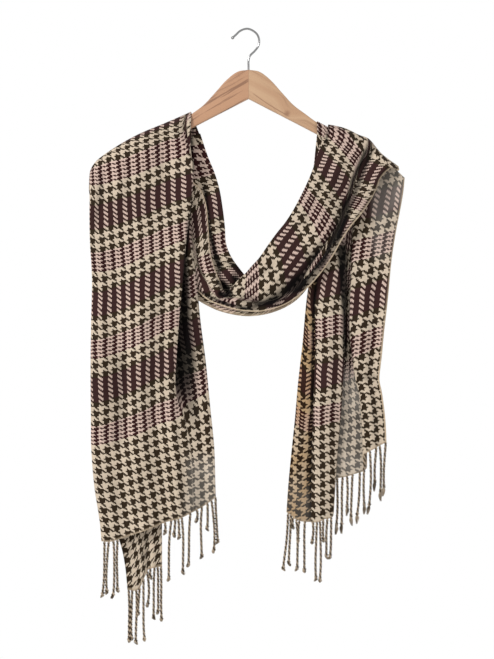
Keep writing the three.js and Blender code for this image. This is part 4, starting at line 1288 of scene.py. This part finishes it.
def place_on_hem(hem, x):
    """The place on a hem at each x: of the stretches that pass it, the frontmost one."""
    low, high = hem[:-1, None], hem[1:, None]
    run = high[..., 0] - low[..., 0]
    share = (x - low[..., 0]) / np.where(abs(run) < 1e-9, 1e-9, run)
    depth = np.where((share >= 0) & (share <= 1), mix(low[..., 1], high[..., 1], share), np.inf)
    pick = np.argmin(depth, axis=0)
    at = share[pick, np.arange(len(x))][:, None]
    return mix(hem[pick, :3], hem[pick + 1, :3], np.clip(at, 0, 1))


def strand_paths(hem, strands):
    """The centre line of each strand: a bent curve from its root on the hem to its end, with a
    small wave that differs from strand to strand."""
    root = place_on_hem(hem, strands["root"])
    t = np.linspace(0, 1, STRAND_STEPS)[None, :, None]
    tip = np.stack([strands["tip"], root[:, 1], strands["end"]], axis=-1)
    knee = (root + tip) / 2
    knee[:, 0] += 2 * strands["bow"]
    root, knee, tip = root[:, None], knee[:, None], tip[:, None]
    path = (1 - t) ** 2 * root + 2 * t * (1 - t) * knee + t**2 * tip
    phase = strands["root"][:, None] * 2.3
    path[..., 0] += 0.5 * np.sin(7 * t[..., 0] + phase) * t[..., 0]
    path[..., 1] += 0.6 * np.sin(5 * t[..., 0] + 1.7 * phase) * t[..., 0]
    return path


def fringe_piece(name, node, hem, strands, finish):
    """The fringe of one hem. Each strand is two plies wound round its path, with a knot near the
    end, and below it a tuft of loose fibres that spread as they fall."""
    paths = strand_paths(hem, strands)
    run = run_of(paths, 1)
    full = run[:, -1:]
    tuft = min(finish.tuft / MM, 0.3 * full.min())
    scale = (full - tuft + 1.5) / full
    source = run * scale
    wound = np.stack(
        [[np.interp(s, r, p[:, k]) for s, r, p in zip(source, run, paths)] for k in range(3)], -1
    )
    ply = finish.ply_radius / MM
    at_knot = np.exp(-(((source - source[:, -1:] + 2.2) / 1.5) ** 2))
    turn = 2 * np.pi * source / (finish.twist / MM) + strands["root"][:, None]
    points, faces, indices, start = [], [], [], 0
    for side in range(2):
        angle = turn + np.pi * side
        swing = (0.86 * ply + 0.5 * at_knot)[..., None]
        centre = wound + swing * np.stack([np.cos(angle), np.sin(angle), 0 * angle], axis=-1)
        radius = ply * (1 + 0.55 * at_knot) * ease(source, -2.0, 1.0)
        made, walls = tubes(centre, radius, PLY_SIDES, start)
        points.append(made)
        faces += walls
        indices += [side] * len(walls)
        start += len(made)
    spread = np.arange(TUFT_FIBRES)
    twist = spread * 2.4 + strands["root"][:, None] * 1.3
    far = (0.7 + 2.1 * ((spread * 7) % 5) / 4)[None]
    fall = (tuft * (0.66 + 0.34 * ((spread * 5) % 7) / 6))[None]
    t = np.linspace(0, 1, FIBRE_STEPS)
    swell = ease(t, 0, 0.4) * (1 - 0.45 * ease(t, 0.5, 1))
    drift = 2.2 * np.sin(strands["root"] * 1.9)[:, None, None] * t**2
    knot = wound[:, -1, :] + np.array([0, 0, 1.5])
    fibre = np.empty((len(paths), TUFT_FIBRES, FIBRE_STEPS, 3))
    fibre[..., 0] = knot[:, None, None, 0] + (far * np.cos(twist))[..., None] * swell + drift
    fibre[..., 1] = knot[:, None, None, 1] + (far * np.sin(twist))[..., None] * swell
    fibre[..., 2] = knot[:, None, None, 2] - (fall + 0 * twist)[..., None] * t
    fibre = fibre.reshape(-1, FIBRE_STEPS, 3)
    radius = np.broadcast_to(mix(0.55, 0.26, t), fibre.shape[:2])
    made, walls = tubes(fibre, radius, FIBRE_SIDES, start)
    points.append(made)
    faces += walls
    kind = np.where(np.arange(len(fibre)) % 5 < 2, 0, 2)
    for each in ((FIBRE_STEPS - 1) * FIBRE_SIDES, 2):
        indices += np.repeat(kind, each).tolist()
    looks = [
        look_of("dark_yarn", yarn_look, finish.olive, (0.075, 0.05, 0.03)),
        look_of("cream_yarn", yarn_look, (0.27, 0.205, 0.14), finish.cream),
        look_of("loose_tuft", yarn_look, (0.26, 0.20, 0.14), (0.48, 0.40, 0.30)),
    ]
    piece = new_piece(name, np.concatenate(points), faces, looks, indices)
    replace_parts(turned_out(piece), node)
    return piece


def hem_mask(height, width=2.6):
    """1 at the hem, fading out over the width of its edge."""
    return 1 - ease(height, 0.6 * width, width)


def flat_size(grid):
    """The cloth's flat width and length in metres: the mean arc lengths across and along it."""
    across = run_of(grid, 1)[:, -1]
    along = run_of(grid, 0)[-1]
    return float(across.mean() * MM), float(along.mean() * MM)


class SCARF_OT_left_tail(Operator):
    """Make the left tail's front and under layer, with their fringes"""

    bl_idname = "scarf.left_tail"
    bl_label = "Left Tail"

    def execute(self, context):
        finish = Finish(context.scene)
        looks = cloth_looks(finish)
        thickness = finish.thickness / MM
        plain = left_tail_grid()
        grid, lift = creased(plain, LEFT_TAIL_CREASES, finish)
        # Painted shade: in the creases, along the listed shades and deep in the pleat.
        hollow = np.maximum(painted_shade_of(plain, lift, LEFT_TAIL_SHADES), pleat_painted_shade(plain))
        # Painted backlight at the lower right corner, where thin cloth lets light through.
        corner = ease(grid[..., 0], -100, -78) * ease(-grid[..., 2], 600, 635)
        shown = {"selvedge": hem_mask(grid[..., 3]), "hollow": hollow, "sheer": 1.6 * corner}
        front = cloth_piece(
            "left_tail_cloth", grid, left_tail_flat(plain), looks, shown, thickness
        )
        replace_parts(front, "left_tail_front")
        fringe = fringe_piece(
            "left_front_strands", "fringe_left_front", grid[-1], LEFT_FRONT_STRANDS, finish
        )
        flat_size(grid)

        plain = left_under_grid()
        grid, lift = creased(plain, LEFT_UNDER_CREASES, finish)
        slant = 0.75 * np.clip(plain[..., 0] + 173, 0, 60)
        flat = np.stack([300 - run_of(plain, 1), plain[..., 2] + 806 - slant], axis=-1)
        swapped = [looks[1], looks[0], looks[2]]
        shown = {
            "selvedge": hem_mask(grid[..., 3]),
            # Painted shade: in the creases, and over the upper part of the under layer, behind the
            # front layer.
            "hollow": np.maximum(ease(-lift, 0.4, 4.0), 0.75 * ease(grid[..., 2], -716, -690)),
        }
        under = cloth_piece("left_tail_under_cloth", grid, flat, swapped, shown, thickness)
        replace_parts(under, "left_tail_back")
        fringe = fringe_piece(
            "left_under_strands", "fringe_left_back", grid[-1], LEFT_BACK_STRANDS, finish
        )
        flat_size(grid)
        return {"FINISHED"}


class SCARF_OT_swag(Operator):
    """Make the swag's under and front layer, between the two arms"""

    bl_idname = "scarf.swag"
    bl_label = "Swag"

    def execute(self, context):
        finish = Finish(context.scene)
        looks = cloth_looks(finish)
        thickness = finish.thickness / MM
        plain = surface(swag_under_net(left_tail_grid()[0]), SWAG_UNDER_ACROSS, DOWN)
        grid, lift = creased(plain, SWAG_UNDER_CREASES, finish)
        station = grid[..., 3]
        # The under layer's rim, where it shows below the front layer, is painted pale: partly its
        # selvedge yarn, partly painted light where the rim is lit.
        showing = ease(station, 5.5, 7) * (1 - ease(station, 12, 14))
        rim = (1 - ease(run_of(plain, 1), 2.5, 6.5)) * showing
        # Painted shade in the creases and along the listed shades.
        shown = {"selvedge": 0.6 * rim, "hollow": painted_shade_of(plain, lift, SWAG_UNDER_SHADES)}
        under = cloth_piece(
            "swag_under_cloth", grid, swag_under_flat(plain), looks, shown, thickness
        )
        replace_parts(under, "swag_back")
        flat_size(grid)

        plain = swag_grid()
        grid, lift = creased(plain, SWAG_CREASES, finish)
        run = run_of(plain, 1)
        inner = abs(run - run[:, SWAG_ACROSS[0] : SWAG_ACROSS[0] + 1])
        limb = 1 - ease(grid[..., 3], 8, 9.5)
        outer = run[:, -1:] - run
        mask = np.maximum((1 - ease(inner, 0.9, 2.4)) * limb, 1 - ease(outer, 1.2, 2.6))
        # A thin dark line just inside the pale outer edge, added to the painted shade.
        outline = 0.75 * ease(outer, 1.8, 2.8) * (1 - ease(outer, 3.2, 4.8))
        # Painted shade in the creases and along the listed shades, kept off the pale edges.
        hollow = np.maximum(painted_shade_of(plain, lift, SWAG_SHADES), outline)
        shown = {"selvedge": mask, "hollow": hollow * (1 - mask)}
        front = cloth_piece("swag_cloth", grid, swag_flat(plain), looks, shown, thickness)
        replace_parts(front, "swag_front")
        flat_size(grid)
        return {"FINISHED"}


class SCARF_OT_right_tail(Operator):
    """Make the right tail and the fringes of its stepped hem"""

    bl_idname = "scarf.right_tail"
    bl_label = "Right Tail"

    def execute(self, context):
        finish = Finish(context.scene)
        plain = surface(right_tail_net(swag_grid()[-1]), RIGHT_TAIL_ACROSS, DOWN + 1)
        grid, lift = creased(plain, RIGHT_TAIL_CREASES, finish)
        run = run_of(plain, 1)
        edge = 1 - ease(run[:, -1:] - run, 1.0, 2.4)
        column = np.arange(grid.shape[1])
        set_back = ease(column, MIDDLE_COLUMN - 3, MIDDLE_COLUMN) * (column < OUTER_COLUMN)
        # Painted backlight: thin cloth paled towards grey where light comes through it, on the
        # upper right flap, the set-back column's lower part and the turned column near the hem.
        thin = (
            1.3 * ease(grid[..., 0], 172, 184) * ease(grid[..., 2], -345, -290),
            1.5 * set_back * ease(-grid[..., 2], 470, 500),
            1.2 * (column < TURNED_COLUMN) * ease(-grid[..., 2], 630, 690),
        )
        shown = {
            "selvedge": np.maximum(edge, hem_mask(grid[..., 3])),
            # Painted shade in the creases and along the listed shades.
            "hollow": painted_shade_of(plain, lift, RIGHT_TAIL_SHADES),
            "sheer": sum(thin),
        }
        turned = np.arange(grid.shape[1] - 1) < TURNED_COLUMN
        piece = cloth_piece(
            "right_tail_cloth",
            grid,
            right_tail_flat(plain),
            faded_looks(finish),
            shown,
            finish.thickness / MM,
            turned,
        )
        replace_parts(piece, "right_tail")
        hem = grid[-1]
        inner, middle, outer = (
            hem[:MIDDLE_COLUMN], hem[MIDDLE_COLUMN:OUTER_COLUMN], hem[OUTER_COLUMN:]
        )
        parts = (
            ("right_inner_strands", "fringe_right_inner", inner, RIGHT_LEFT_STRANDS),
            ("right_middle_strands", "fringe_right_middle", middle, RIGHT_MIDDLE_STRANDS),
            ("right_outer_strands", "fringe_right_outer", outer, RIGHT_OUTER_STRANDS),
        )
        fringes = [fringe_piece(*part, finish) for part in parts]
        flat_size(grid)
        return {"FINISHED"}


# Stage

FLOOR_REACH = 2.5
FLOOR_Z = -1.45
CENTRE = (-2.2, -430.0)
LENS = 135.0
VIEW_DISTANCE = 26.27 * LENS


class SCARF_OT_stage(Operator):
    """Make the pale floor, the soft lights and the camera"""

    bl_idname = "scarf.stage"
    bl_label = "Stage"

    def execute(self, context):
        scene = context.scene
        mesh = bpy.data.meshes.new("floor")
        corners = [(-1, -1), (1, -1), (1, 1), (-1, 1)]
        mesh.from_pydata(
            [(x * FLOOR_REACH, y * FLOOR_REACH, FLOOR_Z) for x, y in corners], [], [(0, 1, 2, 3)]
        )
        mesh.materials.append(floor_look())
        floor = bpy.data.objects.new("floor", mesh)
        scene.collection.objects.link(floor)

        world = bpy.data.worlds.new("studio")
        world.use_nodes = True
        background = world.node_tree.nodes["Background"].inputs
        background["Color"].default_value = (1, 1, 1, 1)
        background["Strength"].default_value = 1.0
        scene.world = world

        for name, place, aim, size, power in (
            ("key", (-2.0, -2.0, 0.9), (0.0, 0.0, -0.4), 0.6, 75),
            ("fill", (2.2, -1.6, 0.2), (0.0, 0.0, -0.4), 1.6, 8),
        ):
            light = bpy.data.lights.new(name, "AREA")
            light.energy, light.size = power, size
            lamp = bpy.data.objects.new(name, light)
            lamp.location = place
            lamp.rotation_euler = look_along(np.subtract(aim, place))
            scene.collection.objects.link(lamp)

        lens = bpy.data.cameras.new("camera")
        lens.lens, lens.sensor_width = LENS, 36.0
        camera = bpy.data.objects.new("camera", lens)
        camera.location = (CENTRE[0] * MM, -VIEW_DISTANCE * MM, CENTRE[1] * MM)
        camera.rotation_euler = (np.pi / 2, 0, 0)
        scene.collection.objects.link(camera)
        scene.camera = camera
        scene.view_settings.view_transform = "Standard"
        scene.view_settings.look = "None"
        return {"FINISHED"}


def look_along(direction):
    """The turn that points a light's -Z along the direction."""
    return Vector(direction).to_track_quat("-Z", "Y").to_euler()


STEPS = (SCARF_OT_hanger, SCARF_OT_left_tail, SCARF_OT_swag, SCARF_OT_right_tail, SCARF_OT_stage)


class SCARF_PT_panel(Panel):
    """The steps of the scarf, and its sizes and colours"""

    bl_idname = "SCARF_PT_panel"
    bl_label = "Scarf on a Hanger"
    bl_space_type = "VIEW_3D"
    bl_region_type = "UI"
    bl_category = "Scarf"

    def draw(self, context):
        layout = self.layout
        for step in STEPS:
            layout.operator(step.bl_idname)
        for group in (context.scene.scarf_sizes, context.scene.scarf_colours):
            box = layout.box()
            for name in group.bl_rna.properties.keys():
                if name not in ("rna_type", "name"):
                    box.prop(group, name)


CLASSES = (ScarfSizes, ScarfColours, *STEPS, SCARF_PT_panel)


def register():
    for item in CLASSES:
        bpy.utils.register_class(item)
    bpy.types.Scene.scarf_sizes = PointerProperty(type=ScarfSizes)
    bpy.types.Scene.scarf_colours = PointerProperty(type=ScarfColours)


def unregister():
    del bpy.types.Scene.scarf_colours
    del bpy.types.Scene.scarf_sizes
    for item in reversed(CLASSES):
        bpy.utils.unregister_class(item)


def main():
    """Makes the whole scene."""
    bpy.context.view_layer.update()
    register()
    bpy.ops.scarf.hanger()
    bpy.ops.scarf.left_tail()
    bpy.ops.scarf.swag()
    bpy.ops.scarf.right_tail()
    bpy.ops.scarf.stage()
    bpy.context.view_layer.update()


if __name__ == "__main__":
    main()
